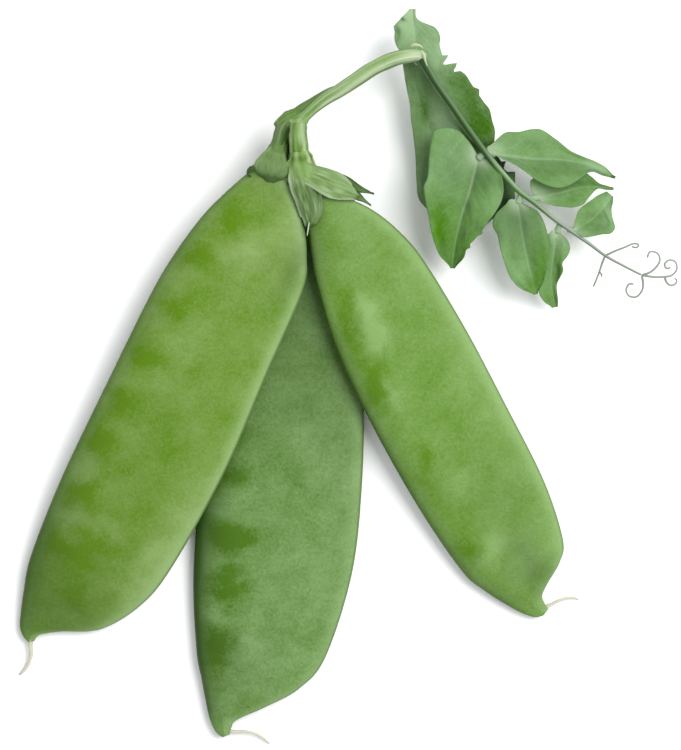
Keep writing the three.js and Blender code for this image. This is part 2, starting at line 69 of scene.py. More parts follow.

# Each pod is drawn in its own frame: x from neck to beak, y from seed edge to back
# edge. heights are those of its middle plane, and roll, in degrees, lifts its back edge
# at the neck. band is how plain the pale strip along the back edge is: partly a paler
# suture and partly a painted highlight where the edge turns to the light. shade is how
# plain the painted shade along the seed edge is, where it turns from the light. seeds
# are (x, y, rise). marks are (x, y, reach along, reach across, change of wax): rubbed
# thin over the seeds, and thick between them. shades are painted shade in that way,
# mostly where the calyx and the other pods shade a pod and where it turns from the light.
PODS = {}
PODS["left"] = dict(
    neck=(-14.8, 37.5), heading=-116.7,
    seed_edge=[
        (0.4, -0.8), (2.8, -2.2), (7.4, -4.1), (12.8, -5.9), (20.4, -7.3), (29.4, -8), (48.3, -7.9),
        (66.4, -7.6), (81, -6.4), (87.3, -4.8), (91.2, -3.5), (93.6, -2.5), (94.9, -1.2), (95.4, 0.1),
    ],
    back_edge=[
        (-0.6, 0.9), (0.2, 3.5), (2.5, 7.3), (6.2, 10.7), (11.1, 13.8), (17.1, 16), (32.9, 16.9), (52.1, 18),
        (71.4, 17.2), (80.2, 15.3), (87.4, 10.8), (91.1, 4.5), (93.3, 1.4), (94.8, 1),
    ],
    heights=[10.3, 9.1, 8, 6.8, 5.2, 3, 1.2], roll=6, band=0.55, shade=0.35,
    shades=[
        (12, 13, 9, 3, 0.4), (60, 3, 20, 12, 0.1), (88, 2, 12, 12, 0.45), (76, -5, 14, 4, 0.25),
        (3, 3, 4, 4, 0.2), (45, -7, 44, 3.4, 0.2),
    ],
    seeds=[
        (10.5, -0.8, 0.3), (20.2, -3.6, 0.35), (29.5, -2.8, 0.35), (39.6, -3.6, 0.35), (48.5, -4.2, 0.35),
        (57.2, -3.8, 0.35), (67, -2.7, 0.35), (76, -0.8, 0.4), (83.5, 2.7, 0.3),
    ],
    marks=[
        (9.4, -0.6, 3, 3.6, -0.15), (6, 3, 2.2, 3, -0.06), (13.2, -0.6, 3.2, 1.8, -0.2),
        (14.8, 3.4, 2.8, 2.4, 0.22), (64, -1.4, 2.6, 2.2, -0.2), (70, 15.5, 14, 2.2, 0.4),
        (20.2, -3.2, 2.8, 4.2, -0.45), (28.9, -2.4, 2.6, 4.2, -0.28), (27, 0.3, 1.6, 3, -0.16),
        (39.6, -3.2, 2.5, 4, -0.45), (48.5, -3.8, 2.4, 4.2, -0.36), (52.6, -4.5, 3, 2.2, -0.22),
        (57.2, -3.4, 2.3, 4, -0.42), (67.5, -2.3, 2.6, 4, -0.36), (76.9, -1, 2.9, 4.2, -0.42),
        (74.4, 4.6, 2.6, 4.4, -0.26), (82.8, 2.9, 3.2, 3.2, -0.34), (61.7, 6, 4.4, 2.6, -0.12),
        (54.5, 8.4, 5, 4, -0.14), (70, 9, 8, 4, -0.1), (44, 7, 5, 3, -0.08), (25.2, -5.2, 2.4, 2.4, 0.3),
        (33.8, -5, 2.6, 2.6, 0.32), (44.2, -5.4, 2, 2.4, 0.34), (62.4, -5.8, 2.6, 2, 0.36),
        (72.2, -2.8, 2.2, 4.2, 0.36), (69.2, 2.6, 2.2, 3, 0.25), (31.2, 1.6, 3.6, 2.2, 0.22),
        (36, 2.6, 1.6, 3.6, 0.16), (9.6, 9.4, 7, 4, 0.3), (16, 4.6, 4, 3, 0.15), (2, 1.5, 3, 3, 0.3),
        (89.4, -0.3, 2.6, 3, 0.1), (79, 13, 14, 4, 0.3),
    ],
)
PODS["middle"] = dict(
    neck=(-5.5, 31), heading=-99.8,
    seed_edge=[
        (0.2, -0.9), (2.7, -2.8), (6.5, -4.9), (11.9, -7), (19.2, -9.1), (35.6, -11.5), (52.9, -12.2),
        (69.5, -10.7), (82.6, -7.9), (87.4, -6.2), (91.2, -4.8), (94.4, -3.5), (96.6, -2), (97.4, -0.6),
    ],
    back_edge=[
        (0.2, 0.9), (2.3, 2.8), (6.4, 4.9), (11.9, 7.1), (18.2, 9.5), (32.6, 13.8), (48, 16.3), (64.2, 17.3),
        (79.9, 15.2), (86.4, 11.5), (90.7, 6.1), (93.8, 1.5), (95.3, 0.7), (96.7, 0.6),
    ],
    heights=[3.3, 2.5, 2.5, 2.6, 2.6, 2.5, 1.6], roll=0, band=0.3, shade=0.85,
    shades=[
        (14, 3, 16, 14, 0.36), (34, 4, 13, 13, 0.2), (60, -10, 22, 4, 0.45), (84, -1, 5, 5, 0.26),
        (80.2, -5, 4, 4, 0.2), (82, 4, 5, 4, 0.1),
    ],
    seeds=[
        (13.5, -3, 0.3), (23, -4.6, 0.3), (32.5, -5.8, 0.3), (42, -6.4, 0.3), (51, -6.5, 0.35),
        (61.5, -6.6, 0.4), (70.5, -5.4, 0.4), (80, -3.2, 0.4),
    ],
    marks=[
        (50.6, -6.7, 2.6, 4.2, -0.4), (61.5, -6.6, 2.8, 5.4, -0.6), (60, -3, 1.8, 3, -0.2),
        (68, -5, 1.8, 4.2, -0.35), (71.6, -4.6, 2.4, 4, -0.5), (80.8, -4.4, 3.8, 3.8, -0.52),
        (85.4, -4.4, 4, 2.2, -0.25), (44, -8.5, 4, 3, -0.14), (30, 6, 12, 3, -0.06),
        (79.3, 0.8, 2, 2.8, 0.3), (66.2, -8.9, 2, 2.4, 0.25), (75.8, -5.9, 2, 3.2, 0.3),
        (57, -8.7, 2.2, 2.8, 0.25), (72, 2, 3, 2.4, 0.16), (84, 3, 5, 5, 0.15), (90, -1, 3, 3, 0.15),
    ],
)
PODS["right"] = dict(
    neck=(-6, 32.7), heading=-61.2,
    seed_edge=[
        (0, -1.2), (2.1, -3.2), (5.5, -4.4), (9.5, -6), (14.6, -7.7), (26.9, -10.2), (42.4, -11.1),
        (58.4, -10.9), (71.9, -9.6), (76.9, -7.8), (81, -5.6), (83.9, -3.7), (85.6, -2.1), (86.1, -0.6),
    ],
    back_edge=[
        (0.1, 1.4), (3.4, 4.3), (7.7, 7.4), (13.2, 9.7), (19.9, 11.1), (34.1, 11.8), (49.2, 11.6),
        (64.7, 11.1), (75.6, 9.1), (79, 6.7), (81.3, 3), (82.8, 1), (84.2, 0.7), (85.5, 0.8),
    ],
    heights=[10.3, 8.9, 7.5, 6.1, 4.6, 2.85, 1.3], roll=0, band=0.45, shade=0.52,
    shades=[(77.5, 1.5, 6, 4, 0.45), (66, 3, 12, 8, 0.16), (8, 0, 10, 12, 0.08), (19, -7, 5, 3, -0.25)],
    seeds=[
        (12.5, -2.8, 0.2), (24.6, -3.6, 0.95), (36.6, -6, 0.9), (46, -5.6, 0.3), (55, -4.4, 0.6),
        (70.4, -4.8, 0.8),
    ],
    marks=[
        (18.5, -5.2, 4, 2.2, -0.36), (24.6, -7, 4, 1.9, -0.34), (33.6, -7, 3.8, 2.3, -0.36),
        (51.2, -6, 3.4, 2, -0.34), (69.3, -7.4, 2.6, 2.2, -0.38), (63.9, -5.6, 3, 1.8, -0.16),
        (37.4, -8.4, 2.6, 1.6, -0.2), (57, -7.6, 3.4, 1.6, -0.16), (16, 6, 5, 3, -0.08),
        # The waxy marks over the seed bumps stand partly for the sheen on their lit sides: painted
        # highlight.
        (23.3, -2.6, 2.2, 2.2, 0.5), (27.4, -2.6, 2.6, 2.6, 0.62), (37.8, -5.4, 3, 1.5, 0.45),
        (57.3, -2.8, 3, 3.6, 0.18), (71.8, -3.6, 2.6, 3, 0.36), (74.4, 2.9, 4, 4, 0.3),
        (20.3, -3.4, 2.2, 1.8, 0.14), (78, -0.6, 4, 3, 0.25), (12.3, 0.8, 5, 4, 0.1),
    ],
)


def smooth(run, t):
    """The value at t, from 0 to 1, on a smooth curve through an even run of values."""
    last = len(run) - 1
    at = min(max(t, 0), 1) * last
    step = min(int(at), last - 1)
    share = at - step
    a, b, c, d = (run[min(max(step + k, 0), last)] for k in (-1, 0, 1, 2))
    pull = (c - a) + share * ((2 * a - 5 * b + 4 * c - d) + share * (3 * (b - c) + d - a))
    return b + 0.5 * share * pull


def eased(low, high, value):
    """0 below low and 1 above high, with a soft step between them."""
    share = min(max((value - low) / (high - low), 0), 1)
    return share * share * (3 - 2 * share)


def closed_end(t, end):
    """1 along a skin, falling to 0 in a round end over its first and last part."""
    inset = min(t, 1 - t) / end
    return math.sqrt(1 - (1 - min(inset, 1)) ** 2)


def bell(value, width):
    """1 where value is 0, falling to nothing about two widths away."""
    return math.exp(-((value / width) ** 2))


def rough(x, y, z):
    """Smooth noise about zero."""
    return noise.noise(Vector((x, y, z)))


def spotted(marks, x, y, stray=1):
    """What the marks near (x, y) add up to, each with a soft edge that strays a little."""
    here = Vector((x, y, 0))
    off = stray * (2 * noise.noise_vector(here / 4) + 0.9 * noise.noise_vector(here / 1.3))
    total = 0
    for mark_x, mark_y, reach_x, reach_y, change in marks:
        spread = ((x + off.x - mark_x) / reach_x) ** 2 + ((y + off.y - mark_y) / reach_y) ** 2
        total += change * math.exp(-spread) if spread < 12 else 0
    return total


# Every piece's points carry these: a change of wax, and shares of pale and dark.
MARKS = ("wax", "pale", "dark")


def blank():
    """An empty mesh whose points can carry the marks."""
    bm = bmesh.new()
    for mark in MARKS:
        bm.verts.layers.float.new(mark)
    return bm


def as_mesh(bm, name):
    """A mesh made of bm, which is let go."""
    mesh = bpy.data.meshes.new(name)
    bm.to_mesh(mesh)
    bm.free()
    return mesh


def placed(name, contents):
    """A new object in the scene, of a mesh, a lamp or a camera."""
    made = bpy.data.objects.new(name, contents)
    bpy.context.scene.collection.objects.link(made)
    return made


def finished(bm, name, *skins):
    """An object with that mesh, scaled from millimetres to metres, and those skins."""
    bmesh.ops.scale(bm, vec=(0.001, 0.001, 0.001), verts=bm.verts)
    bmesh.ops.recalc_face_normals(bm, faces=bm.faces)
    for face in bm.faces:
        face.smooth = True
    piece = placed(name, as_mesh(bm, name))
    for skin in skins:
        piece.data.materials.append(skin)
    return piece


def moved(bm, vert, place):
    """Moves a point to the first of place, and gives it the marks in the second."""
    vert.co, values = place
    for mark, value in zip(MARKS, values):
        vert[bm.verts.layers.float[mark]] = value


def wrapped(bm, around, along, place):
    """Adds a closed skin: a sphere whose points go to place(t, angle), t along it."""
    made = bmesh.ops.create_uvsphere(bm, u_segments=around, v_segments=along, radius=1)
    for vert in made["verts"]:
        t = math.acos(min(max(vert.co.z, -1), 1)) / math.pi
        moved(bm, vert, place(t, math.atan2(vert.co.y, vert.co.x)))


def pod_place(pod):
    """Where a pod's skin lies at t from neck to beak and at an angle round it."""
    seed_edge = [Vector(point) for point in pod["seed_edge"]]
    back_edge = [Vector(point) for point in pod["back_edge"]]
    length = seed_edge[-1].x
    slope = math.tan(math.radians(pod["roll"]))
    cos, sin = math.cos(math.radians(pod["heading"])), math.sin(math.radians(pod["heading"]))

    def place(t, angle):
        seed_point, back_point = smooth(seed_edge, t), smooth(back_edge, t)
        centre = (seed_point + back_point) / 2
        arm = (back_point - centre) * closed_end(t, POD_END)
        across = math.cos(angle)
        x, y = centre + across * arm
        along = min(max(centre.x / length, 0), 1)
        neck = NECK_THICKNESS + (1 - NECK_THICKNESS) * eased(0, NECK_TAPER, along)
        tip = TIP_THICKNESS + (1 - TIP_THICKNESS) * eased(0, TIP_TAPER, 1 - along)
        belly = POD_BELLY * min(neck, tip)
        rim = min(POD_RIM, belly)
        full = (1 - abs(across) ** POD_FULLNESS) ** POD_SHOULDER
        inset = (1 - abs(across)) * arm.length
        rise = 0
        for seed_x, seed_y, up in pod["seeds"]:
            rise += up * math.exp(-((x - seed_x) ** 2 + (y - seed_y) ** 2) / SEED_REACH**2)
        rise += 0.16 * noise.noise(Vector((x, y, 0)) / 8) + 0.05 * noise.noise(Vector((x, y, 5)) / 2.6)
        half = rim * (1 - abs(across) ** RIM_ROUNDNESS) ** 0.5 + (belly - rim + rise) * full
        half *= closed_end(t, POD_END)
        back = across > 0
        z = smooth(pod["heights"], along) + slope * (1 - along) * y + math.copysign(half, math.sin(angle))
        wide = min(arm.length / 4, 1)
        seam = wide * (SEAM_BACK if back else SEAM_SEED)
        seam *= 1 - eased(0.5 * SEAM_WIDTH, 1.7 * SEAM_WIDTH, inset)
        # The back edge's pale band is partly a painted highlight; shade and the shades are painted shade.
        if back:
            band, shade = pod["band"] * bell(inset, BAND_WIDTH), 0
        else:
            band = 0.3 * pod["band"] * bell(inset - 1.2, 0.8)
            shade = pod["shade"] * wide * math.exp(-((inset / SHADE_WIDTH) ** 1.5))
        wax = 1.2 * spotted(pod["marks"], x, y) + 0.16 * noise.noise(Vector((x, y, 9)) / 5)
        wax += 0.12 * noise.noise(Vector((x / 1.1, y / 3.5, 3)) + noise.noise_vector(Vector((x, y, 0)) / 3))
        shade += spotted(pod["shades"], x, y)
        world_x = pod["neck"][0] + x * cos - y * sin
        world_y = pod["neck"][1] + x * sin + y * cos
        return Vector((world_x, world_y, max(z, 0))), (wax, band, max(seam, shade))

    return place


LAMPS = 1.55  # how many times a colour is lit up by the lamps and the sky


def tint(red, green, blue):
    """The paint that shows as this colour, from 0 to 255, under the lamps."""
    shares = [(value / 255 + 0.055) / 1.055 for value in (red, green, blue)]
    return tuple(share**2.4 / LAMPS for share in shares) + (1,)


def feed(tree, node, inputs):
    """Gives a node these values or sockets, by the name or number they go to."""
    for name, value in inputs.items():
        if isinstance(value, bpy.types.NodeSocket):
            tree.links.new(value, node.inputs[name])
        else:
            node.inputs[name].default_value = value


def add(tree, kind, inputs=None, **settings):
    """A new shader node with these inputs."""
    made = tree.nodes.new(kind)
    for name, value in settings.items():
        setattr(made, name, value)
    feed(tree, made, inputs or {})
    return made


def calc(tree, operation, *values, clamp=False):
    """What a Math node makes of these values or sockets."""
    inputs = dict(enumerate(values))
    return add(tree, "ShaderNodeMath", inputs, operation=operation, use_clamp=clamp).outputs[0]


def mixed(tree, share, first, second):
    """A colour between first and second."""
    return add(tree, "ShaderNodeMix", {0: share, 6: first, 7: second}, data_type="RGBA").outputs[2]


def mottle(tree, place, size, detail=3, swirl=0):
    """Noise about zero, in blotches of about size millimetres, drawn out where it swirls."""
    scale = calc(tree, "DIVIDE", 1000, size)
    inputs = {"Vector": place, "Scale": scale, "Detail": detail, "Distortion": swirl}
    cloud = add(tree, "ShaderNodeTexNoise", inputs)
    return calc(tree, "SUBTRACT", cloud.outputs[0], 0.5)


def new_group(name, inputs, outputs):
    """A shader node group with these sockets, its input node and its output node."""
    group = bpy.data.node_groups.new(name, "ShaderNodeTree")
    for direction, sockets in (("INPUT", inputs), ("OUTPUT", outputs)):
        for label, kind in sockets:
            group.interface.new_socket(name=label, in_out=direction, socket_type=f"NodeSocket{kind}")
    return group, group.nodes.new("NodeGroupInput"), group.nodes.new("NodeGroupOutput")


VEIN_MESH = 0.9  # millimetres across a cell of the net of fine veins

# Green skin under a pale wax. Wax runs from 0, rubbed bare, to 1, thick. Cloud and Fleck
# are the sizes of its uneven patches in millimetres, and Net how plain its fine veins are.
waxy_skin, given, result = new_group(
    "Waxy skin",
    [("Fresh", "Color"), ("Waxy", "Color"), ("Wax", "Float"), ("Cloud", "Float"), ("Fleck", "Float"),
     ("Mottling", "Float"), ("Net", "Float")],
    [("Color", "Color"), ("Roughness", "Float"), ("Height", "Float")],
)
here = add(waxy_skin, "ShaderNodeTexCoord").outputs["Object"]
cloud = mottle(waxy_skin, here, given.outputs["Cloud"])
fleck = mottle(waxy_skin, here, given.outputs["Fleck"], detail=4, swirl=2.5)
grain = mottle(waxy_skin, here, 0.5, detail=2)
inputs = {"Vector": here, "Scale": 1000 / VEIN_MESH}
cells = add(waxy_skin, "ShaderNodeTexVoronoi", inputs, feature="DISTANCE_TO_EDGE")
apart = calc(waxy_skin, "MULTIPLY", cells.outputs["Distance"], 4)
vein = calc(waxy_skin, "SUBTRACT", 0.5, apart, clamp=True)
net = calc(waxy_skin, "MULTIPLY", vein, given.outputs["Net"])
blotches = calc(waxy_skin, "MULTIPLY_ADD", fleck, 0.9, cloud)
speckled = calc(waxy_skin, "MULTIPLY_ADD", grain, 0.7, blotches)
uneven = calc(waxy_skin, "MULTIPLY_ADD", speckled, given.outputs["Mottling"], given.outputs["Wax"])
amount = calc(waxy_skin, "ADD", uneven, net, clamp=True)
bumps = calc(waxy_skin, "MULTIPLY_ADD", fleck, 1.5, grain)
feed(waxy_skin, result, {
    "Color": mixed(waxy_skin, amount, given.outputs["Fresh"], given.outputs["Waxy"]),
    "Roughness": calc(waxy_skin, "MULTIPLY_ADD", amount, 0.15, 0.42),
    "Height": calc(waxy_skin, "SUBTRACT", bumps, net),
})


SKIN_RELIEF = 0.00003  # metres that the skin's bumps stand out


def plant_skin(name, fresh, waxy, pale, dark, wax, cloud, fleck=1.4, mottling=0.45, net=0, shine=0.15):
    """A material of waxy skin that turns pale and dark where the mesh's marks say so. Its
    four colours are as they show, from 0 to 255."""
    fresh, waxy, pale, dark = tint(*fresh), tint(*waxy), tint(*pale), tint(*dark)
    material = bpy.data.materials.new(name)
    material.use_nodes = True
    tree = material.node_tree
    marks = {mark: add(tree, "ShaderNodeAttribute", attribute_name=mark).outputs["Fac"] for mark in MARKS}
    inputs = {
        "Fresh": fresh, "Waxy": waxy, "Wax": calc(tree, "ADD", wax, marks["wax"]), "Cloud": cloud,
        "Fleck": fleck, "Mottling": mottling, "Net": net,
    }
    skin = add(tree, "ShaderNodeGroup", inputs, node_tree=waxy_skin)
    colour = mixed(tree, marks["pale"], skin.outputs["Color"], pale)
    bump = add(tree, "ShaderNodeBump", {"Height": skin.outputs["Height"], "Distance": SKIN_RELIEF})
    feed(tree, tree.nodes["Principled BSDF"], {
        "Base Color": mixed(tree, marks["dark"], colour, dark), "Roughness": skin.outputs["Roughness"],
        "Specular IOR Level": shine, "Normal": bump.outputs["Normal"],
    })
    return material


POD_SKINS = {
    "left": dict(fresh=(98, 142, 6), waxy=(146, 178, 102), wax=0.36),
    "middle": dict(fresh=(76, 120, 6), waxy=(142, 178, 114), wax=0.46),
    "right": dict(fresh=(96, 142, 20), waxy=(144, 182, 106), wax=0.4),
}

pod_shapes = {}  # for what lies on the pods
for side, pod in PODS.items():
    bm = blank()
    wrapped(bm, POD_AROUND, POD_ALONG, pod_place(pod))
    pod_shapes[side] = BVHTree.FromBMesh(bm)
    skin = plant_skin(
        f"{side} pod skin", pale=(178, 212, 148), dark=(54, 84, 28), cloud=6, mottling=0.75, net=0.12,
        **POD_SKINS[side],
    )
    piece = finished(bm, f"{side}_pod", skin)
    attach(piece, "root")
    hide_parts(f"pod_{side}")

# ---- The stalk ----
# The peduncle is a firm ridged stem that forks into three short pedicels at a swollen
# joint, beside the scar of a fourth. It broke off the vine at the stipules' node, where
# a rim of torn skin is left.

# stripes run along a stem: (across, half-width, from, to, wax, pale, dark), across from
# -1 at the left of its way to 1 at the right, and from and to as shares of its length.
# Some are painted light: the pale stripes on the left of the way of the peduncle and of
# the right pedicel are painted highlights on their lit sides, and the dark stripe on the
# left pedicel's side towards the right pedicel is painted shade.
STALK = {}
STALK["peduncle"] = dict(
    route=[
        (13.6, 56.4, 12.3), (12.2, 56.8, 12.7), (9.9, 56.6, 12.9), (7.6, 56, 13), (4.4, 54.5, 13.1),
        (1.1, 52.3, 13.1), (-1.9, 50.4, 12.9), (-4.5, 48.8, 12.7), (-7.2, 46.5, 12.5), (-8.8, 44.9, 12.3),
    ],
    radii=[0.8, 1.2, 1.3, 1.32, 1.32, 1.3, 1.25, 1.15, 1, 1.1],
    stripes=[
        (0.25, 0.2, 0.1, 1, -0.45, 0, 0.06), (0.98, 0.1, 0.1, 1, -0.3, 0, 0.5),
        # The stripe at -0.45 is a painted highlight on the lit side.
        (0.7, 0.22, 0, 0.7, 0.1, 0.2, 0), (-0.45, 0.4, 0, 0.8, 0.2, 0.5, 0), (-0.97, 0.1, 0, 1, 0, 0, 0.45),
        (0.3, 0.07, 0.55, 1.1, 0, 0.6, 0), (-0.3, 0.5, 0.7, 1.1, -0.5, 0, 0),
        (-0.2, 1.2, -0.2, 0.16, 0.3, 0.5, 0), (0.95, 0.12, 0.18, 0.2, 0, 0, 0.8),
        (0.95, 0.14, 0.62, 0.64, 0, 0, 0.8), (-0.1, 0.06, 0.1, 0.9, -0.2, 0, 0.12),
    ],
)
STALK["right pedicel"] = dict(
    route=[
        (-7.6, 46.2, 12.5), (-8.8, 44.8, 12.2), (-9, 43.2, 12), (-8.95, 41.3, 11.8), (-8.8, 39.2, 11.5),
        (-8.6, 37.8, 11.2),
    ],
    radii=[0.9, 1.4, 1.55, 1.72, 1.7, 1.2],
    stripes=[
        (0.9, 0.14, 0.2, 1, 0.2, 0.4, 0), (0.35, 0.5, 0.1, 1.1, -0.6, 0, 0.1),
        # The first stripe here is a painted highlight on the lit side.
        (-0.45, 0.35, 0.1, 0.78, 0.1, 0.2, 0), (-0.25, 0.06, 0.3, 0.8, 0, 0, 0.3),
        (-0.95, 0.1, 0.1, 1, 0, 0, 0.4), (0, 1.2, 0.62, 1.3, -0.5, 0, 0),
    ],
)
STALK["left pedicel"] = dict(
    route=[
        (-0.6, 51.5, 12.4), (-3.9, 49.9, 12.1), (-7, 48, 11.7), (-9.6, 46, 11.2), (-11.4, 44, 10.8),
        (-12, 42.2, 10.5), (-12.4, 40.1, 10.2), (-12.8, 38.9, 10),
    ],
    radii=[0.4, 0.9, 0.95, 1.1, 1.3, 1.6, 1.5, 0.9],
    stripes=[
        # The second stripe here is painted shade in the gap between the pedicels.
        (0, 2, -0.5, 1.2, -0.6, 0, 0.48), (-0.85, 0.5, 0.45, 1.2, -0.3, 0, 0.75),
        (0.9, 0.2, 0, 1, 0.3, 0, 0.2), (0.3, 0.7, 0.6, 1.2, 0.6, 0, 0), (0.5, 0.1, 0.4, 1, 0.3, 0.08, 0),
        (0.1, 0.08, 0.4, 1, 0.3, 0.06, 0),
    ],
)
STALK["middle pedicel"] = dict(
    route=[(-9.2, 45.3, 10.4), (-10.6, 42.6, 7.4), (-9.3, 39.2, 4.4), (-7.7, 36.4, 3.5)],
    radii=[1.7, 1.5, 1.4, 1.4], stripes=[(0, 2, -0.5, 1.5, -0.3, 0, 0.3)],
)
STALK["scar"] = dict(
    route=[(-8.2, 47, 11.5), (-10.4, 45.5, 10.9), (-12.4, 44.5, 10.6), (-13, 44, 10.5)],
    radii=[0.9, 1.5, 1.75, 1.35, 0.8],
    stripes=[(0, 2, -0.5, 0.8, -0.6, 0, 0.25), (0, 2, 0.86, 1.3, -0.2, 0, 0.6)],
)
STALK["fork rim"] = dict(
    route=[(-10.5, 45.3, 12.1), (-9.7, 44.9, 12.95), (-8.7, 45.2, 13.3), (-7.8, 45, 13)],
    radii=[0.16, 0.28, 0.2, 0.26, 0.12], stripes=[(0, 2, -0.5, 1.5, -0.3, 0.3, 0)],
)
STALK["knob"] = dict(
    route=[(-2.6, 50.3, 12.5), (-2.2, 49.2, 12.3)], radii=[0.7, 0.5, 0.3],
    stripes=[(0, 2, -0.5, 1.5, 0, 0.2, 0.1)],
)
STALK["torn rim above"] = dict(
    route=[(10.8, 58.1, 13.2), (11.6, 58.5, 13.7), (12.6, 58.3, 13.9), (13.3, 57.7, 13.7)],
    radii=[0.25, 0.35, 0.25, 0.1], stripes=[(0, 2, -0.5, 1.5, 0.4, 0.7, 0)],
)
STALK["torn rim below"] = dict(
    route=[(12.7, 57.6, 13.3), (13.3, 56.6, 13.7), (13.5, 55.7, 13.5), (14, 54.4, 13)],
    radii=[0.3, 0.34, 0.2, 0.1], stripes=[(0, 2, -0.5, 1.5, 0.4, 0.7, 0)],
)
STEM_AROUND = 40
STEM_STEP = 0.25  # millimetres between the rings of a stem
ROUTE_STEPS = 24  # points that a route is measured by between two of its own
STALK_GRAIN = 0.13  # size of the faces that the joined stalk is remade with
END_ROUNDNESS = 0.35  # 1 for a stem that ends in a half ball, and less for a blunter one


def traced(route):
    """Points close together on the curve through a route, with the distance to each."""
    points = [Vector(point) for point in route]
    points = [2 * points[0] - points[1]] + points + [2 * points[-1] - points[-2]]
    traces = []
    for a, b, c, d in zip(points, points[1:], points[2:], points[3:]):
        first, mid, last = (b - a).length ** 0.5, (c - b).length ** 0.5, (d - c).length ** 0.5
        leave = ((b - a) / first - (c - a) / (first + mid) + (c - b) / mid) * mid
        arrive = ((c - b) / mid - (d - b) / (mid + last) + (d - c) / last) * mid
        for step in range(ROUTE_STEPS):
            s = step / ROUTE_STEPS
            bend = s * s * (-3 * b + 3 * c - 2 * leave - arrive) + s**3 * (2 * b - 2 * c + leave + arrive)
            traces.append(b + s * leave + bend)
    traces.append(points[-2])
    distances = [0]
    for a, b in zip(traces, traces[1:]):
        distances.append(distances[-1] + (b - a).length)
    return traces, distances


def on_route(trace, u):
    """The point at a share u of a traced route's length, and its direction there."""
    points, distances = trace
    goal = min(max(u, 0), 1) * distances[-1]
    step = next(k for k in range(1, len(points)) if distances[k] >= goal or k == len(points) - 1)
    share = (goal - distances[step - 1]) / (distances[step] - distances[step - 1])
    before, after = max(step - 2, 0), min(step + 1, len(points) - 1)
    return points[step - 1].lerp(points[step], share), (points[after] - points[before]).normalized()


def stem(bm, route, radii, marks, around=STEM_AROUND, flatness=1, shape=lambda u, angle: 1):
    """Adds a stem with rounded ends. shape(u, angle) scales its radius, with the angle
    from its right-hand side over its top, and marks(u, angle) gives its marks."""
    trace = traced(route)
    length = trace[1][-1]
    along = max(8, round(length / STEM_STEP))
    rings = {}

    def place(t, angle):
        key = round(t * along)
        if key not in rings:
            point, tangent = on_route(trace, t)
            side = tangent.cross(Vector((0, 0, 1))).normalized()
            end = min(smooth(radii, t) / length, 0.5) * END_ROUNDNESS
            rings[key] = (point, side, side.cross(tangent), smooth(radii, t) * closed_end(t, end))
        point, side, up, radius = rings[key]
        radius *= shape(t, angle)
        offset = radius * (math.cos(angle) * side + math.sin(angle) * up)
        offset.z *= flatness
        return point + offset, marks(t, angle)

    wrapped(bm, around, along, place)


def streaks(fineness, angle, along):
    """Noise round a stem, in streaks down its length."""
    return rough(fineness * math.cos(angle), fineness * math.sin(angle), along)


def ridged(u, angle):
    """The stalk's section: three soft ridges, and furrows and dents between them."""
    furrows = 0.09 * streaks(3.5, angle, 2 * u)
    dents = 0.08 * streaks(1.5, angle, 9 * u)
    fine_furrows = 0.06 * streaks(8, angle, u)
    return 1 + 0.06 * math.cos(3 * (angle - 1.2)) + furrows + fine_furrows + dents


def striped(stripes):
    """The marks of a stem with those stripes along it, each a little uneven."""

    def marks(u, angle):
        stray = 0.12 * streaks(4, angle, 5 * u)
        wax = pale = dark = 0
        for across, half, start, end, waxier, paler, darker in stripes:
            share = bell(math.cos(angle) + stray - across, half)
            share *= eased(start - 0.08, start + 0.08, u) * (1 - eased(end - 0.08, end + 0.08, u))
            wax += share * waxier
            pale += share * paler
            dark += share * darker
        line = streaks(5, angle, 2 * u)
        return wax, pale + 0.6 * max(line, 0), dark + 0.6 * max(-line, 0)

    return marks


def joined(bm, grain):
    """That mesh remade as one even skin with faces of that size, which keeps its marks."""
    layers = [bm.verts.layers.float[mark] for mark in MARKS]
    source = [(vert.co.copy(), [vert[layer] for layer in layers]) for vert in bm.verts]
    near = KDTree(len(source))
    for number, (point, _) in enumerate(source):
        near.insert(point, number)
    near.balance()
    parts = placed("parts", as_mesh(bm, "parts"))
    remesh = parts.modifiers.new("join", "REMESH")
    remesh.mode = "VOXEL"
    remesh.voxel_size = grain
    whole = bpy.data.meshes.new_from_object(parts.evaluated_get(bpy.context.evaluated_depsgraph_get()))
    bpy.data.objects.remove(parts)
    bm = bmesh.new()
    bm.from_mesh(whole)
    every_way = {f"use_axis_{axis}": True for axis in "xyz"}
    for _ in range(2):
        bmesh.ops.smooth_vert(bm, verts=bm.verts, factor=0.5, **every_way)
    layers = [bm.verts.layers.float.get(mark) or bm.verts.layers.float.new(mark) for mark in MARKS]
    for vert in bm.verts:
        found = near.find_n(vert.co, 4)
        for place, layer in enumerate(layers):
            vert[layer] = sum(source[number][1][place] for _, number, _ in found) / len(found)
    return bm


bm = blank()
for branch in STALK.values():
    stem(bm, branch["route"], branch["radii"], striped(branch["stripes"]), shape=ridged)
skin = plant_skin(
    "stalk skin", fresh=(104, 152, 40), waxy=(166, 196, 136), pale=(214, 230, 190),
    dark=(52, 80, 30), wax=0.75, cloud=3, fleck=0.8, mottling=0.5, shine=0.08,
)
piece = finished(joined(bm, STALK_GRAIN), "forked_stalk", skin)
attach(piece, "root")
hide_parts("stalk")
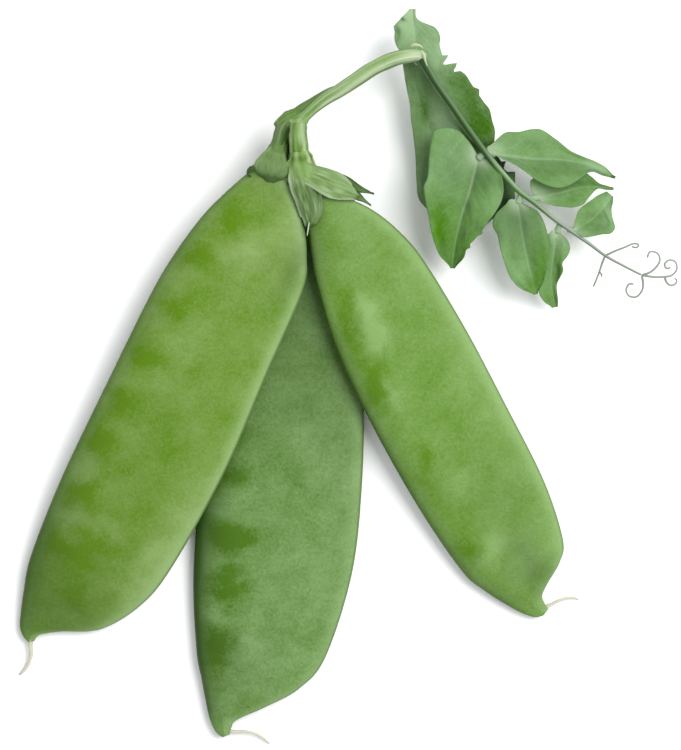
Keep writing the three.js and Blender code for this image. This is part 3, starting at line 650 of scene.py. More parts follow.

# ---- The calyxes ----
# Each pod's neck sits in a calyx: a shallow cup that was the flower's base, with
# withering sepals grown from its rim that lie back on the pod and crumple.

# cup_marks are a cup's wax, its darkness, how plain its ribs are, how dark the band at
# its joint is, and how dark the painted shade on its side by the next pedicel is. A
# sepal's values are named under SEPAL, where those that most of them share are set.
CALYXES = {}
CALYXES["left"] = dict(
    cup=[(-11.8, 43.3, 10.6), (-12.1, 41.6, 10.4), (-12.5, 40, 10.3), (-13, 38.6, 10.2), (-13.4, 37, 10.2)],
    radii=[1.2, 1.55, 1.85, 2.2, 2.95, 2.8], cup_marks=(0.05, 0.47, 0.5, 0.1, 0.6),
    sepals=[
        dict(
            midrib=[(-12.4, 40.7, 10.9), (-13, 38.8, 12.1), (-13.5, 36.8, 12.7), (-14, 34.4, 12.1)],
            half=3.1, shape=[0.3, 0.5, 0.68, 0.9, 1.05, 1.05, 0.75, 0.25], dark=0.33, pale=0.2, crumple=0.5,
            rim=0.7, rim_shade=0.75, ragged=0.15,
        ),
        dict(
            midrib=[
                (-15, 37.2, 11.4), (-16.3, 37, 12), (-17.4, 36.6, 12.2), (-17.9, 35.9, 11.9),
                (-17.4, 35.3, 11.5),
            ],
            half=0.62, dark=0.95, pale=0, crumple=1.5,
        ),
        dict(midrib=[(-13.1, 39.3, 9), (-14, 37.6, 8), (-14.8, 35.5, 7.3), (-15.3, 33.5, 6.9)], half=1.9),
        dict(midrib=[(-12.2, 39.3, 9), (-12.1, 37.4, 8), (-11.7, 35.3, 7.5), (-11.4, 33.3, 7.2)], half=1.6),
    ],
    threads=[],
)
CALYXES["middle"] = dict(
    cup=[(-7.6, 36.4, 3.4), (-6.9, 34.8, 3.3), (-6, 32.2, 3.3)], radii=[1.5, 2.1, 2.2],
    cup_marks=(0, 0.2, 1, 0, 0),
    sepals=[
        dict(midrib=[(-6.8, 35, 4.4), (-5.7, 31.6, 5.4), (-5, 28.8, 5.6), (-5.2, 25.8, 5.5)], half=1.9),
        dict(midrib=[(-7.4, 35, 4), (-8.3, 31.8, 4.8), (-9.6, 29.6, 5.2), (-11.2, 27, 5.3)], half=1.3),
        dict(midrib=[(-6.2, 34.8, 4), (-3.6, 32.4, 4.6), (-1.8, 30.2, 5), (0.4, 28.2, 5.2)], half=1.3),
    ],
    threads=[],
)
CALYXES["right"] = dict(
    cup=[(-8.9, 40.6, 11.9), (-8.65, 38.7, 11.75), (-8.4, 37, 11.5), (-8.2, 35.8, 11.2), (-7.6, 34.4, 10.8)],
    radii=[1.2, 2.05, 2.5, 2.95, 2.9], cup_marks=(0, 0, 1.7, 0.55, 0),
    sepals=[
        dict(
            midrib=[
                (-8.8, 37, 12.9), (-8.1, 34.2, 13.2), (-7.2, 31.5, 12.9), (-6.7, 29, 12.6),
                (-6.7, 26.6, 12.3),
            ],
            half=2.55, shape=[0.75, 0.95, 1, 1, 0.95, 0.88, 0.74, 0.42], wax=0, dark=0.4, pale=0.8,
        ),
        dict(
            midrib=[
                (-8.3, 36.2, 13.1), (-5.9, 35.2, 13.3), (-3.4, 34.1, 13.1), (-0.9, 33, 12.7),
                (1.5, 31.7, 12.3),
            ],
            half=2.5, shape=[0.6, 0.75, 0.86, 0.95, 0.98, 0.85, 0.55, 0.22], wax=0.15, dark=-0.04, pale=0.45,
        ),
        dict(
            midrib=[
                (-6.6, 35.6, 11.8), (-3.6, 35, 12.2), (-0.9, 34.3, 12), (1.6, 33.2, 11.4), (4.5, 32.3, 11),
            ],
            half=1.4, wax=-0.1, dark=0.6, pale=0.1,
        ),
        dict(
            midrib=[(-3.3, 34.7, 11.2), (-0.5, 33.3, 11.2), (1.8, 31.7, 11), (3.9, 30.3, 10.6)], half=1.1,
            dark=0.45, pale=0.1,
        ),
        dict(
            midrib=[(-9.2, 37.8, 12.4), (-10.4, 36.6, 12.3), (-11, 35.4, 12), (-10.9, 34.2, 11.6)], half=1.3,
            shape=[0.8, 1, 1, 1, 0.9, 0.8, 0.6, 0.3], wax=-0.2, dark=0.1, pale=0.1,
        ),
        dict(midrib=[(-8.7, 37, 9.6), (-8.2, 34.3, 8.4), (-7.6, 31.4, 7.6), (-7.1, 28.5, 7)], half=1.6),
        dict(midrib=[(-7.6, 37, 9.6), (-4.8, 35.2, 8.2), (-1.6, 33.1, 7.4), (1.1, 31.4, 6.8)], half=1.5),
    ],
    # This pale strand stands for a bright line of light in the gap between the pods: a painted highlight.
    threads=[[(-7, 27.3, 12.9), (-7.2, 26.1, 12.8), (-7.4, 24.7, 12.4)]],
)
CUP_HEIGHT = 0.85  # of its width
# What blades share unless they say otherwise: how high and how often their margins
# ripple, how far each half is drawn back at the base, their teeth, how torn their ends
# are, their wax, how much painted shade each half has by the midrib, on the side of a
# fold that turns from the light, and how steeply and how far the left half lifts. A
# blade's own fold is how steeply both halves rise from its midrib.
BLADE_SHAPE = dict(
    wave=0.2, waves=2, lobes=(0, 0), teeth=(), ragged=0, wax=0, fold_shade=(0, 0), lift=(0, 0),
)
# A sepal has its own wax, dark and pale, its outline as shares of its half-width, half,
# how deep it crumples, and where a painted shade along its tip and left margin starts
# and how dark it is.
SEPAL = dict(
    BLADE_SHAPE, fold=-0.1, wave=0.12, waves=1.5, ragged=0.7, wax=0.2, dark=0.2, pale=0.3,
    shape=[0.7, 0.92, 1, 0.98, 0.85, 0.62, 0.3, 0.08], crumple=1, rim=0.94, rim_shade=0.4,
)
THREAD_RADII = [0.1, 0.14, 0.08]
SEPAL_GRID = (60, 64)
SEPAL_GAP = 0.12  # between a sepal and the pod that it lies on
CALYX_GRAIN = 0.1
LOBE_REACH = 0.25  # part of a blade's length that a lobe draws back
LOBE_ROUNDNESS = 0.78
BLADE_END = 0.2  # half-width where a blade starts and ends
BLADE = 0.34  # thickness of a blade at its midrib
RIPPLE_LAG = 2  # radians by which a blade's right margin ripples after its left
ABOVE = Vector((0, 0, 50))
DOWN = Vector((0, 0, -1))


def tooth_at(teeth, hand, u):
    """How far the teeth on one hand stand out of the margin at u."""
    reach = 0
    for side, place, half, depth in teeth:
        reach += depth * max(0, 1 - abs(u - place) / half) if side == hand else 0
    return reach


def blade_place(leaf, relief, lies_on=None):
    """Where a blade's middle lies at u from base to tip and v from its right margin,
    -1, to its left, 1. relief(u, v, out, point) gives its height and marks, out
    millimetres from the midrib. It rests on the shape lies_on."""
    trace = traced(leaf["midrib"])

    def place(u, v):
        hand = "left" if v > 0 else "right"
        half = max(BLADE_END, smooth(leaf[hand], u)) + tooth_at(leaf["teeth"], hand, u)
        point, tangent = on_route(trace, u)
        side = Vector((-tangent.y, tangent.x, 0)).normalized()
        lobe = leaf["lobes"][0 if v > 0 else 1] * max(0, 1 - u / LOBE_REACH) ** 2
        point = point + side * v * half - tangent * lobe * math.sin(LOBE_ROUNDNESS * math.pi * abs(v))
        frayed = leaf["ragged"] * rough(2.2 * v, point.x, point.y)
        point += tangent * frayed * eased(0.6, 1, u)
        lag = 0 if v > 0 else RIPPLE_LAG
        ripple = leaf["wave"] * v * v * math.sin(2 * math.pi * leaf["waves"] * u + lag)
        height, marks = relief(u, v, abs(v) * half, point)
        point.z += leaf["fold"] * abs(v) * half + ripple + height
        if lies_on:
            under = lies_on.ray_cast(Vector((point.x, point.y, 0)) + ABOVE, DOWN)[0]
            if under:
                point.z = max(point.z, under.z + SEPAL_GAP + BLADE / 2 + 0.5 * max(height, -SEPAL_GAP))
        return point, marks

    return place


def sheet(bm, rows, columns, place):
    """Adds a thin closed blade: a grid whose points go to place(u, v), then doubled. Its
    lower face draws up to the other towards the margins."""
    made = bmesh.ops.create_grid(bm, x_segments=rows, y_segments=columns, size=1)
    middle = {}
    for vert in made["verts"]:
        u, v = (vert.co.x + 1) / 2, vert.co.y
        moved(bm, vert, place(u, v))
        middle[vert] = BLADE * (1 - 0.45 * max(abs(v), abs(2 * u - 1)) ** 4)
    faces = {face for vert in made["verts"] for face in vert.link_faces}
    top = bmesh.ops.extrude_face_region(bm, geom=list(faces), use_keep_orig=True)["geom"]
    raised = [item for item in top if isinstance(item, bmesh.types.BMVert)]
    for vert in made["verts"]:
        vert.co.z -= middle[vert] / 2
    for vert in raised:
        vert.co.z += BLADE * 0.36


def sepal_relief(sepal, root):
    """Crumpled lengthwise folds, pale along their crests and dark between them, a painted
    shade in the creases, a pale dry margin, and a painted shade along its tip and left
    margin. root is the wax of the cup that the sepal grows from."""

    def relief(u, v, out, point):
        half = sepal["half"]
        folds = rough(2.6 * v, 2.2 * u, half + point.x / 5)
        wrinkles = rough(7 * v, 3 * u, half)
        lines = rough(19 * v + 1.5 * folds, 5 * u, 2 * half)
        rooted = eased(0, 0.2, u) * sepal["crumple"]
        margin = sepal["pale"] * (1 if v < 0 else 0.5) * eased(0.65, 0.95, abs(v))
        pale = max(margin, sepal["pale"] * (0.4 * max(wrinkles, 0) + 1.1 * max(lines, 0))) * rooted
        wax = root + (sepal["wax"] - root) * eased(0, 0.5, u)
        dark = sepal["dark"] * eased(0, 0.45, u)
        # Painted shade in the creases between the folds, and along the tip and left margin.
        dark += (0.3 * max(-wrinkles, 0) + 0.4 * max(-folds, 0) + 0.7 * max(-lines, 0)) * rooted
        dark += sepal["rim_shade"] * eased(sepal["rim"], 1, max(u, abs(v) if v > 0 else 0))
        rise = (0.4 * folds + 0.1 * wrinkles + 0.06 * lines) * rooted
        rise += 0.35 * rough(1.6 * v, 4.5 * u, 3 + half) * sepal["crumple"]
        return rise, (wax + 0.4 * folds * rooted, pale, min(max(dark, 0), 0.85))

    return relief


def cup_marks(wax, dark, ribs, ring, painted_side_shade):
    """The marks of a cup: its own wax and darkness, with lengthwise lines as plain as
    ribs says, a band near the pedicel as dark as ring says, and a painted shade on its
    side by the next pedicel, as dark as the last argument says."""

    def marks(u, angle):
        line = ribs * streaks(9, angle, u)
        joint = ring * bell(u + 0.06 * streaks(2, angle, 7) - 0.3, 0.1)
        green = 0.3 * (1 - eased(0.35, 0.55, u))
        # Painted shade on the side by the next pedicel.
        shaded = dark + joint + painted_side_shade * eased(0.2, 0.9, -math.cos(angle))
        return (wax + 0.4 * line - joint - green, 0.6 * max(line, 0), max(shaded - 0.7 * line, 0))

    return marks


for side, calyx in CALYXES.items():
    bm = blank()
    marks = cup_marks(*calyx["cup_marks"])
    stem(bm, calyx["cup"], calyx["radii"], marks, flatness=CUP_HEIGHT, shape=ridged)
    for sepal in calyx["sepals"]:
        leaf = {**SEPAL, **sepal}
        leaf["left"] = leaf["right"] = [share * leaf["half"] for share in leaf["shape"]]
        upper = leaf["midrib"][0][2] > calyx["cup"][0][2]
        relief = sepal_relief(leaf, calyx["cup_marks"][0])
        sheet(bm, *SEPAL_GRID, blade_place(leaf, relief, pod_shapes[side] if upper else None))
    bm = joined(bm, CALYX_GRAIN)
    # The pale threads are painted highlight.
    for route in calyx["threads"]:
        stem(bm, route, THREAD_RADII, lambda u, angle: (0.5, 0.9, 0), around=10)
    skin = plant_skin(
        f"{side} calyx skin", fresh=(136, 176, 76), waxy=(142, 174, 114), pale=(208, 224, 194),
        dark=(48, 76, 30), wax=0.6, cloud=3, fleck=0.8, mottling=0.6, shine=0.08,
    )
    piece = finished(bm, f"{side}_calyx", skin)
    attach(piece, "root")
    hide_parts(f"calyx_{side}")

# ---- The dried styles ----
# What is left of each flower's style: a dry beige thread on the pod's beak that
# tapers and curls down to the surface.

STYLES = {}
STYLES["left"] = dict(
    route=[
        (-57.2, -47, 1.5), (-57.2, -48.4, 1.3), (-57.1, -49.8, 1.2), (-57.4, -51.3, 1), (-58.1, -52.6, 0.7),
        (-59.3, -53.8, 0.5),
    ],
    size=1,
)
STYLES["middle"] = dict(
    route=[
        (-22.2, -63.6, 1.5), (-20.6, -63.9, 1.5), (-18.9, -63.9, 1.4), (-17.1, -64.2, 1.1),
        (-15.4, -65.1, 0.8), (-14.2, -66.2, 0.5),
    ],
    size=0.75,
)
STYLES["right"] = dict(
    route=[
        (34.9, -41.8, 1.4), (36.3, -41.1, 1.3), (37.7, -40.4, 1.3), (39.2, -39.9, 1.1), (40.7, -39.9, 0.8),
        (41.4, -40.4, 0.5),
    ],
    size=0.7,
)
STYLE_RADII = [0.5, 0.42, 0.36, 0.34, 0.32, 0.2]


def withered(u, angle):
    """A dried thread's section, wrinkled along its length."""
    return 1 + 0.22 * streaks(1.5, angle, 6 * u)


def style_marks(u, angle):
    """A dried thread is browner at its root and at its tip, and darker along its underside,
    a painted shade.
    """
    under = 0.35 * eased(0.2, -0.7, math.sin(angle))
    return 0, 0, max(under, 0.4 * (1 - eased(0, 0.2, u)), 0.5 * eased(0.88, 1, u))


for side, style in STYLES.items():
    bm = blank()
    radii = [style["size"] * radius for radius in STYLE_RADII]
    stem(bm, style["route"], radii, style_marks, around=16, shape=withered)
    skin = plant_skin(
        f"{side} dried style", fresh=(214, 210, 178), waxy=(238, 236, 220), pale=(246, 244, 234),
        dark=(160, 156, 128), wax=0.5, cloud=2, fleck=0.6,
    )
    piece = finished(bm, f"{side}_style", skin)
    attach(piece, "root")
    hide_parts(f"style_{side}")

# ---- The stipules ----
# Two broad leafy blades clasp the node where the stalk starts, one under the rachis
# and one lower down. They are soft and thin, with a fan of veins and torn margins.

# left and right are a blade's half-widths from base to tip. Its teeth are (hand, place,
# half-width, depth). marks and shades are (x, y, reach, reach, change), of wax and of
# darkness; the shades are mostly painted shade, where other blades and the rachis shade
# a blade and where it turns from the light. veins are how many pairs, how far they
# slant, and how pale they are.
STIPULES = {}
STIPULES["upper"] = dict(
    midrib=[
        (11.4, 65.3, 9), (11.6, 61.6, 9.7), (12.4, 57.4, 10.1), (15.1, 52.8, 10.3), (18.3, 48, 10),
        (21.5, 43.4, 9.3), (24.5, 39.8, 8.4),
    ],
    left=[0.5, 0.8, 3.7, 4.4, 4, 3.7, 3.3, 4.1, 5, 5, 5, 5, 5.1, 4.4, 3.6, 1.9],
    right=[0.7, 2.5, 3.5, 3.6, 2.6, 1.2, 1, 0.9, 0.9, 0.9, 0.9, 0.9, 0.9, 0.8, 0.6, 0.2], fold=0.16,
    wave=0.3, waves=3,
    teeth=[
        ("left", 0.385, 0.022, 1.1), ("left", 0.415, 0.018, -0.7), ("left", 0.45, 0.022, 1),
        ("left", 0.485, 0.018, -0.8), ("left", 0.66, 0.03, 0.6), ("right", 0.1, 0.03, 0.5),
    ],
    wax=0.05,
    marks=[
        (10, 62.5, 2.4, 4.2, 0.6), (14.5, 60.8, 3, 3.4, 0.3), (16, 56.4, 2.4, 2.2, 0.7),
        (21.5, 49, 2.7, 5.3, -0.34), (23.6, 43.2, 2.3, 3.8, -0.45), (19.4, 52.6, 1.6, 1.8, -0.2),
        (16.6, 51.6, 1.2, 2.4, 0.1),
    ],
    shades=[
        (9.6, 63.6, 0.4, 0.4, 0.8), (8.6, 60.8, 0.4, 2, 0.5), (24, 41, 1.4, 1.1, 0.4),
        (17.3, 47.3, 0.5, 5.3, 0.2),
    ],
    veins=(14, 0.1, 0.07), midrib_pale=0.2, crease=0.2,
)
STIPULES["lower"] = dict(
    midrib=[(10.8, 56.5, 8.4), (12.7, 49.3, 7.3), (15.6, 41.3, 5.8), (19.9, 33.3, 4.2), (25.1, 27.5, 3)],
    left=[0, 1.8, 2.8, 3.7, 4.6, 5.4, 6.2, 6.9, 7.9, 8.6, 8.8, 8.4, 8.7, 6.3],
    right=[1.4, 1.6, 1.8, 2, 2.6, 3.1, 3.8, 4.8, 6, 7.1, 6.6, 6, 4.5, 0], fold=0.03, wave=0.3, waves=3,
    teeth=[("left", 0.8, 0.03, 0.9), ("left", 0.9, 0.03, 0.7)], wax=0.1,
    marks=[
        (13.4, 47.6, 1.5, 3, -0.35), (16.6, 47.4, 1.6, 4, 0.4), (18.6, 43.9, 2.4, 2.6, 0.6),
        (15.6, 43, 2.4, 2, 0.15), (12, 33, 2.4, 4, 0.2),
    ],
    shades=[
        (10.4, 51.1, 1.3, 4.6, 0.3), (11, 43.9, 1.5, 4.6, 0.25), (12, 35.4, 1.6, 5, 0.15),
        (14, 52.6, 0.8, 2.4, 0.2), (27, 37.1, 2.2, 2.6, 1.1), (27, 31.5, 2.8, 3.4, 1.1),
    ],
    veins=(12, 0.12, 0.05), midrib_pale=0, crease=0.1, lift=(0.45, 2.2),
)
STIPULE_GRID = (220, 70)
LEAF_STRAY = 0.5  # how far the marks on a leaf stray, as a share of how far a pod's do


def leaf_relief(leaf):
    """A leaf's veins, sunk in its face, the quilting between them, and its marks, with
    painted shade from its shades and beside its midrib.
    """
    pairs, slant, strength = leaf["veins"]
    length = traced(leaf["midrib"])[1][-1]

    def relief(u, v, out, point):
        bend = slant * (abs(v) ** 1.3) * 3
        phase = (u - bend) * pairs - 0.3 + 0.5 * rough(2 * v, 3 * u, pairs)
        off = abs(phase - round(phase)) / pairs * length
        near = math.exp(-5 * u)
        side_vein = bell(off, 0.15) * (1 - eased(0.5, 0.9, abs(v))) * (1 - 0.8 * u + near)
        midrib = leaf["midrib_pale"] * (1 - 0.8 * u) * bell(out, 0.18 + 0.3 * near)
        star = 2.4 * leaf["midrib_pale"] * math.exp(-((u * length) ** 2 + out**2) / 3.5)
        quilt = 0.012 * math.cos(2 * math.pi * phase) * eased(0, 0.4, abs(v))
        uneven = 0.5 * rough(2.4 * v, 3.5 * u, length) * abs(v)
        uneven += 0.14 * noise.noise(Vector((point.x, point.y, length)) / 1.6)
        slope, most = leaf["lift"]
        uneven += min(slope * out, most) if v > 0 else 0
        crease = -leaf["crease"] * math.exp(-out / 0.9)
        wax = leaf["wax"] + spotted(leaf["marks"], point.x, point.y, LEAF_STRAY)
        # Painted shade: the shades, and beside the midrib on the half of a fold that turns from the light.
        dark = spotted(leaf["shades"], point.x, point.y, LEAF_STRAY) + 0.2 * eased(0.93, 1, abs(v))
        fold_shade = leaf["fold_shade"][0 if v > 0 else 1]
        dark += fold_shade * math.exp(-out / 1.6) * (1 - math.exp(-out / 0.25))
        pale = max(strength * side_vein, midrib, min(star, 0.8))
        return crease + uneven - quilt, (wax, pale, min(dark, 0.9))

    return relief


def leaf_blade(bm, grid, given):
    """Adds a leafy blade with those values, and the shared ones that it doesn't give."""
    leaf = {**BLADE_SHAPE, **given}
    sheet(bm, *grid, blade_place(leaf, leaf_relief(leaf)))


for place, stipule in STIPULES.items():
    bm = blank()
    leaf_blade(bm, STIPULE_GRID, stipule)
    skin = plant_skin(
        f"{place} stipule skin", fresh=(66, 114, 4), waxy=(154, 188, 138), pale=(190, 212, 170),
        dark=(48, 72, 40), wax=0.42, cloud=4, fleck=1, mottling=0.38, net=0.1, shine=0.1,
    )
    piece = finished(bm, f"{place}_stipule", skin)
    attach(piece, "root")
    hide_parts(f"stipule_{place}")

# ---- The compound leaf ----
# The rachis is a thin firm stem that grows from the node. It carries six leaflets on
# short petiolules, and past them it divides into tendrils that end in coils.

RACHIS = dict(
    route=[
        (12.6, 56.6, 12.4), (13.5, 55.2, 12.5), (15.1, 52.4, 12.5), (18.3, 47.8, 12.4), (21.5, 43.2, 12),
        (24.1, 39.7, 11.6), (27.2, 36, 11), (30, 33, 10.3), (33.1, 30.7, 9.6), (36.3, 28.1, 8.8),
        (39.6, 25.8, 8), (43, 23.5, 6.9), (45.8, 21.5, 5.9), (49.2, 19.7, 4.6), (52.5, 18.1, 3.4),
    ],
    radii=[0.75, 0.66, 0.58, 0.56, 0.56, 0.56, 0.54, 0.5, 0.46, 0.4, 0.35, 0.3, 0.26, 0.22, 0.2],
)
PETIOLULE_RADII = [0.5, 0.55, 0.7]
PETIOLULES = [
    [(24.3, 39.4, 11.3), (23.7, 39.2, 11), (22.9, 38.6, 10.5)],
    [(24.2, 39.7, 11.3), (24.9, 39.6, 11.1), (26.2, 39.4, 10.9)],
    [(30.8, 32.4, 10), (30.4, 31.8, 9.6), (30.1, 30.6, 9.2)],
    [(31.9, 31.5, 9.7), (32.8, 31.6, 9.1), (34.2, 31.9, 8.6)],
    [(37.7, 27.2, 8.3), (37.4, 26.6, 7.9), (37.1, 25.4, 7.5)],
    [(38.9, 26.2, 8), (39.6, 25.9, 7.8), (40.6, 26.2, 7.4)],
]
TENDRIL_RADII = [0.22, 0.17, 0.17]
TENDRILS = [
    [
        (45.8, 21.5, 5.9), (47.5, 22.3, 6.3), (49.3, 23, 6.8), (50.8, 23.6, 7.2), (51.7, 23.4, 7.2),
        (51.3, 22.9, 7), (50.4, 23.1, 6.8),
    ],
    [(45.8, 21.5, 5.9), (45.3, 20.2, 5.3), (44.8, 18.6, 4.6), (44.3, 17.2, 4), (43.8, 15.9, 3.4)],
    [
        (52.5, 18.1, 3.4), (54, 18.6, 3.6), (55.2, 19.7, 3.8), (55.7, 20.9, 4), (55.2, 22, 4.1),
        (53.9, 22.2, 4.1), (53.4, 21.1, 4),
    ],
    [
        (52.5, 18.1, 3.4), (52.8, 16.5, 2.8), (52.6, 15.3, 2.4), (51.6, 14.2, 2), (50.3, 14.4, 1.8),
        (49.8, 15.4, 1.8), (50.3, 16.5, 2), (51.2, 16.5, 2.1),
    ],
    [
        (52.5, 18.1, 3.4), (54.4, 17.8, 2.8), (56.4, 17.8, 2.3), (58, 18.1, 2), (58.9, 19.2, 1.9),
        (58.6, 20.5, 2), (57.5, 20.8, 2.2), (56.7, 20.1, 2.3), (57, 19.3, 2.3), (57.8, 19.5, 2.3),
    ],
    [
        (56.7, 17.8, 2.3), (57, 16.9, 2), (57.7, 16.3, 1.8), (58.6, 16.5, 1.7), (58.9, 17.2, 1.7),
        (58.4, 17.6, 1.8),
    ],
    [(44.8, 18.6, 4.6), (45.2, 18.2, 4.7), (45.2, 17.7, 4.5)],
]
LEAFLETS = [
    dict(
        midrib=[(23, 38.9, 10.8), (21.5, 33, 10.6), (20.1, 28.6, 9.9), (18.9, 23.3, 8.6), (18.5, 19.2, 7.2)],
        left=[2, 4.5, 5.6, 5.9, 5.5, 4.9, 4.2, 3.3, 2.2, 1.8, 0.4],
        right=[8.9, 8.7, 8.2, 7.9, 8, 6.9, 5.7, 4.8, 3.7, 2.4, 0.4], fold=0.08, wave=0.3, waves=2.5,
        lobes=(0, 3.7), fold_shade=(0.3, 0.1), teeth=[("left", 0.64, 0.03, 0.5), ("left", 0.79, 0.03, 0.5)],
        marks=[
            (15.8, 27.6, 1.9, 4.4, -0.4), (18.6, 30.4, 2.1, 1.8, -0.2), (19.4, 22.6, 4.6, 5.4, -0.36),
            (24.4, 32.4, 2.6, 2.6, -0.06), (17.2, 40, 3.4, 3.6, 0.2), (13.9, 34, 1.2, 2.4, 0.25),
            (20.6, 36.6, 2.6, 2, 0.16), (27, 30.8, 1.2, 2.4, 0.2),
        ],
        shades=[
            (21.4, 29.6, 0.6, 2.6, 0.4), (20.2, 24.9, 0.6, 2.8, 0.45), (19.3, 21.3, 0.5, 1.6, 0.35),
            (24.4, 35, 2.6, 2.6, 0.36), (18.8, 35.6, 3.4, 3.4, 0.24), (16.6, 40, 4, 3.4, 0.16),
            (17, 23.2, 0.9, 2.4, 0.2), (23, 26, 1.6, 1.2, 0.2), (18.6, 19.4, 1.4, 1, 0.3),
        ],
        veins=(8, 0.12, 0.15), midrib_pale=0.5, crease=0.6,
    ),
    dict(
        midrib=[
            (24.9, 39.5, 11.2), (28.6, 39, 11.4), (33, 38.5, 11.5), (38.3, 38.3, 11.2), (42.8, 37.4, 10.5),
            (47.4, 35.3, 9.4),
        ],
        left=[1.2, 3.9, 4.4, 5.2, 5.2, 3.7, 1.9, 1.2, 1, 0.8, 0],
        right=[0, 0.7, 1.4, 2.6, 4.2, 5, 4.8, 3.4, 1.1, 0.8, 0.3], fold=-0.08, wave=0.25, lobes=(0.6, 0),
        wax=0.05, fold_shade=(0, 0.35),
        marks=[
            (33.9, 42, 5.3, 1.2, 0.06), (38.3, 36.3, 5, 1.4, -0.2), (27, 40.6, 2, 1.6, 0.26),
            (44.6, 37, 2.8, 1.2, 0.65), (32.6, 40.4, 2.4, 1, -0.12), (39, 40, 2.2, 1, -0.1),
        ],
        shades=[
            (47.2, 35.1, 0.6, 0.6, 0.75), (36.5, 36.6, 5.5, 1.8, 0.22), (44.4, 35.9, 2.4, 0.5, 0.2),
            (32.5, 41.2, 5.5, 1.8, 0.15),
        ],
        veins=(8, 0.12, 0.12), midrib_pale=0.4, crease=0.3,
    ),
    dict(
        midrib=[(30.1, 30.8, 9.6), (30.8, 25.6, 9.2), (31.9, 20.3, 8.1), (33.5, 14.6, 6.4)],
        left=[0.7, 3, 3.9, 4.3, 4.4, 4.5, 4.1, 3.4, 2.6, 1.6, 0.2],
        right=[1.8, 4.2, 5, 4.4, 4.4, 4.3, 4.1, 3.9, 3.4, 2.4, 0.5], fold=0.05, lobes=(0, 0.8), wax=0.05,
        fold_shade=(0.15, 0.1),
        marks=[
            (29.6, 22.4, 1.3, 3.9, -0.12), (34.4, 20.4, 1.6, 4.5, -0.3), (33.1, 16.6, 2.2, 2.8, -0.3),
            (31.8, 27, 3.6, 3, 0.12), (30, 19.4, 1.2, 2.6, 0.25),
        ],
        shades=[(30.4, 27.4, 5, 4.4, 0.46), (33.2, 21.8, 0.7, 3.6, 0.2)], veins=(7, 0.12, 0.07),
        midrib_pale=0.4, crease=0.3,
    ),
    dict(
        midrib=[(33.2, 31.7, 9), (37.6, 32.6, 8.6), (42.1, 33.7, 8.2), (47.2, 33.3, 7.6)],
        left=[3.2, 4, 4.3, 4.2, 4.1, 3.8, 3.1, 1.9, 0.8, 0.5, 0.3],
        right=[0, 1.1, 2, 2.5, 3.1, 3.2, 2.9, 1.7, 0.3, 0.3, 0.2], fold=0.04, lobes=(0.5, 0),
        fold_shade=(0.25, 0),
        marks=[(42.9, 34.5, 3.6, 1.4, -0.18), (39.7, 31.4, 2.8, 1.1, -0.2), (36, 32.6, 1.6, 1.8, 0.15)],
        shades=[(46.8, 33.1, 0.5, 0.5, 0.3), (40.5, 34.2, 2.6, 0.7, 0.3), (38.4, 32, 4, 2, 0.14)],
        veins=(7, 0.12, 0.08), midrib_pale=0.35, crease=0.25,
    ),
    dict(
        midrib=[(37.1, 25.9, 7.9), (36.6, 21.6, 6.6), (36.2, 17.1, 5.2), (37, 12.3, 3.6)],
        left=[0.3, 2, 2.7, 2.5, 1.7, 2, 1.6, 1, 0.8, 0.7, 0.5],
        right=[0.9, 2, 1.7, 1.5, 1.5, 1.6, 1.8, 2.3, 2.4, 1.8, 0.6], fold=0.1, wave=0.3, waves=2.5, wax=0.03,
        marks=[(37.4, 19.6, 1, 3.4, -0.25), (36.6, 14.6, 1.6, 2.8, -0.15), (37.8, 23.4, 1.8, 1.8, 0.28)],
        shades=[(37.4, 17.8, 0.45, 2.6, 0.6), (37.4, 13, 0.6, 1.6, 0.2)], veins=(6, 0.12, 0.1),
        midrib_pale=0.35, crease=0.3,
    ),
    dict(
        midrib=[(39.8, 25.7, 7.9), (42.1, 27.1, 7.8), (44.4, 28.9, 7.3), (47.1, 32.1, 6.2)],
        left=[0, 1.1, 2, 2.6, 2.8, 2.8, 2.7, 2.5, 2.3, 1.9, 1.4],
        right=[0, 1.6, 2.3, 2.8, 3.3, 4.1, 3.9, 2.3, 1.3, 0.8, 0.2], fold=0.08, wave=0.25, wax=0.05,
        fold_shade=(0.1, 0.3),
        marks=[(46.4, 30.3, 0.9, 3.2, 0.35), (42.6, 27.1, 1.8, 1.1, -0.25), (43, 30, 1.4, 1.4, -0.1)],
        shades=[(45.9, 28.2, 0.4, 1.4, 0.4), (43.4, 28.6, 1.6, 0.6, 0.25), (44.8, 26.4, 1.5, 1, 0.3)],
        veins=(6, 0.12, 0.12), midrib_pale=0.25, crease=0.25,
    ),
]
LEAFLET_GRID = (120, 50)


def fine(u, angle):
    """A thin stem's section, a little flattened in three places."""
    return 1 + 0.05 * math.cos(3 * angle + 1)


def rachis_marks(u, angle):
    """The rachis is painted dark along one side and pale along the other, painted shade and
    highlight, darker still near the node, painted shade where the stipules shade it, and
    greyer further out.
    """
    across = math.cos(angle)
    shaded = 1 - eased(0.32, 0.45, u)
    grey = eased(0.58, 0.72, u)
    light = (0.15 + 0.3 * (1 - shaded)) * bell(across + 0.4, 0.35) + 0.7 * grey
    dark = (0.3 + 0.55 * shaded) * eased(-0.3 * shaded, 0.8, across) + 0.36 * shaded + 0.16 + 0.22 * grey
    return 0.1 - 0.3 * across, light, min(dark, 0.85)


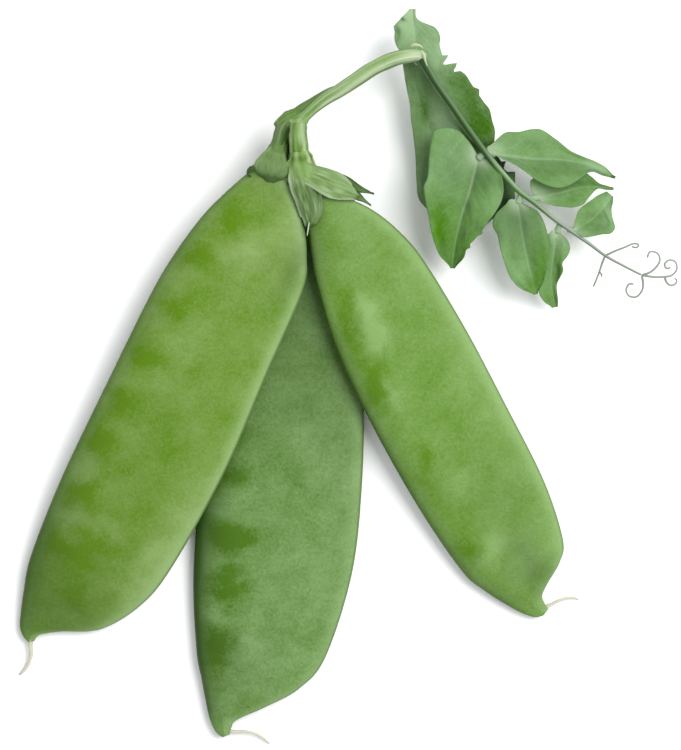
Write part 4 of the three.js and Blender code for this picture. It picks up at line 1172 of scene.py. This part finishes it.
bm = blank()
for leaflet in LEAFLETS:
    leaf_blade(bm, LEAFLET_GRID, leaflet)
blade_faces = set(bm.faces)
stem(bm, RACHIS["route"], RACHIS["radii"], rachis_marks, around=24, shape=fine)
for route in PETIOLULES:
    stem(bm, route, PETIOLULE_RADII, lambda u, angle: (0.5, 0.3, 0.05), around=16, flatness=0.6)
for route in TENDRILS:
    stem(bm, route, TENDRIL_RADII, lambda u, angle: (0.5, 1, 0.45), around=12, shape=fine)
for face in bm.faces:
    face.material_index = 0 if face in blade_faces else 1
blade_skin = plant_skin(
    "leaflet skin", fresh=(80, 134, 2), waxy=(146, 184, 130), pale=(194, 216, 178),
    dark=(46, 74, 38), wax=0.5, cloud=4, fleck=1, mottling=0.38, net=0.1, shine=0.1,
)
stem_skin = plant_skin(
    "rachis skin", fresh=(82, 136, 4), waxy=(146, 184, 130), pale=(206, 216, 202),
    dark=(44, 68, 40), wax=0.5, cloud=4, fleck=0.8, mottling=0.28, shine=0.1,
)
piece = finished(bm, "pea_leaf", blade_skin, stem_skin)
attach(piece, "root")
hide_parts("compound_leaf")

# ---- The table and the light ----
# The sprig lies on a plain white table, under a pale sky of soft light and one large
# softbox above its upper right.

FLOOR_SIDE = 3
FLOOR_HEIGHT = -0.00005  # a hair under the sprig, so that no faces coincide
bm = bmesh.new()
bmesh.ops.create_grid(bm, x_segments=1, y_segments=1, size=FLOOR_SIDE / 2)
table = placed("table", as_mesh(bm, "table"))
table.location.z = FLOOR_HEIGHT
white = bpy.data.materials.new("white table")
white.use_nodes = True
shader = white.node_tree.nodes["Principled BSDF"]
paint = {"Base Color": (0.93, 0.93, 0.93, 1), "Roughness": 0.9, "Specular IOR Level": 0}
feed(white.node_tree, shader, paint)
table.data.materials.append(white)

world = bpy.data.worlds.new("pale sky")
world.use_nodes = True
sky = world.node_tree.nodes["Background"]
feed(world.node_tree, sky, {"Color": (0.97, 0.98, 1, 1), "Strength": 0.85})
bpy.context.scene.world = world


def softbox(name, place, aim, side, power):
    """A square lamp of that many watts that faces the aim."""
    lamp = bpy.data.lights.new(name, "AREA")
    lamp.shape = "SQUARE"
    lamp.size = side
    lamp.energy = power
    holder = placed(name, lamp)
    holder.location = place
    holder.rotation_euler = (Vector(aim) - Vector(place)).to_track_quat("-Z", "Y").to_euler()


softbox("main softbox", place=(0.42, 0.22, 0.8), aim=(0, 0, 0), side=0.56, power=8.4)

# ---- The camera ----
# It looks straight down at the sprig, so that 135 mm of the table fills its height.

CAMERA_PLACE = (-0.001485, 0.00018, 0.74)
SEEN_HEIGHT = 0.135
camera_data = bpy.data.cameras.new("camera")
camera_data.lens = camera_data.sensor_width * CAMERA_PLACE[2] / SEEN_HEIGHT
camera_data.clip_start = 0.01
camera = placed("camera", camera_data)
camera.location = CAMERA_PLACE
bpy.context.scene.camera = camera
bpy.context.scene.view_settings.view_transform = "Standard"
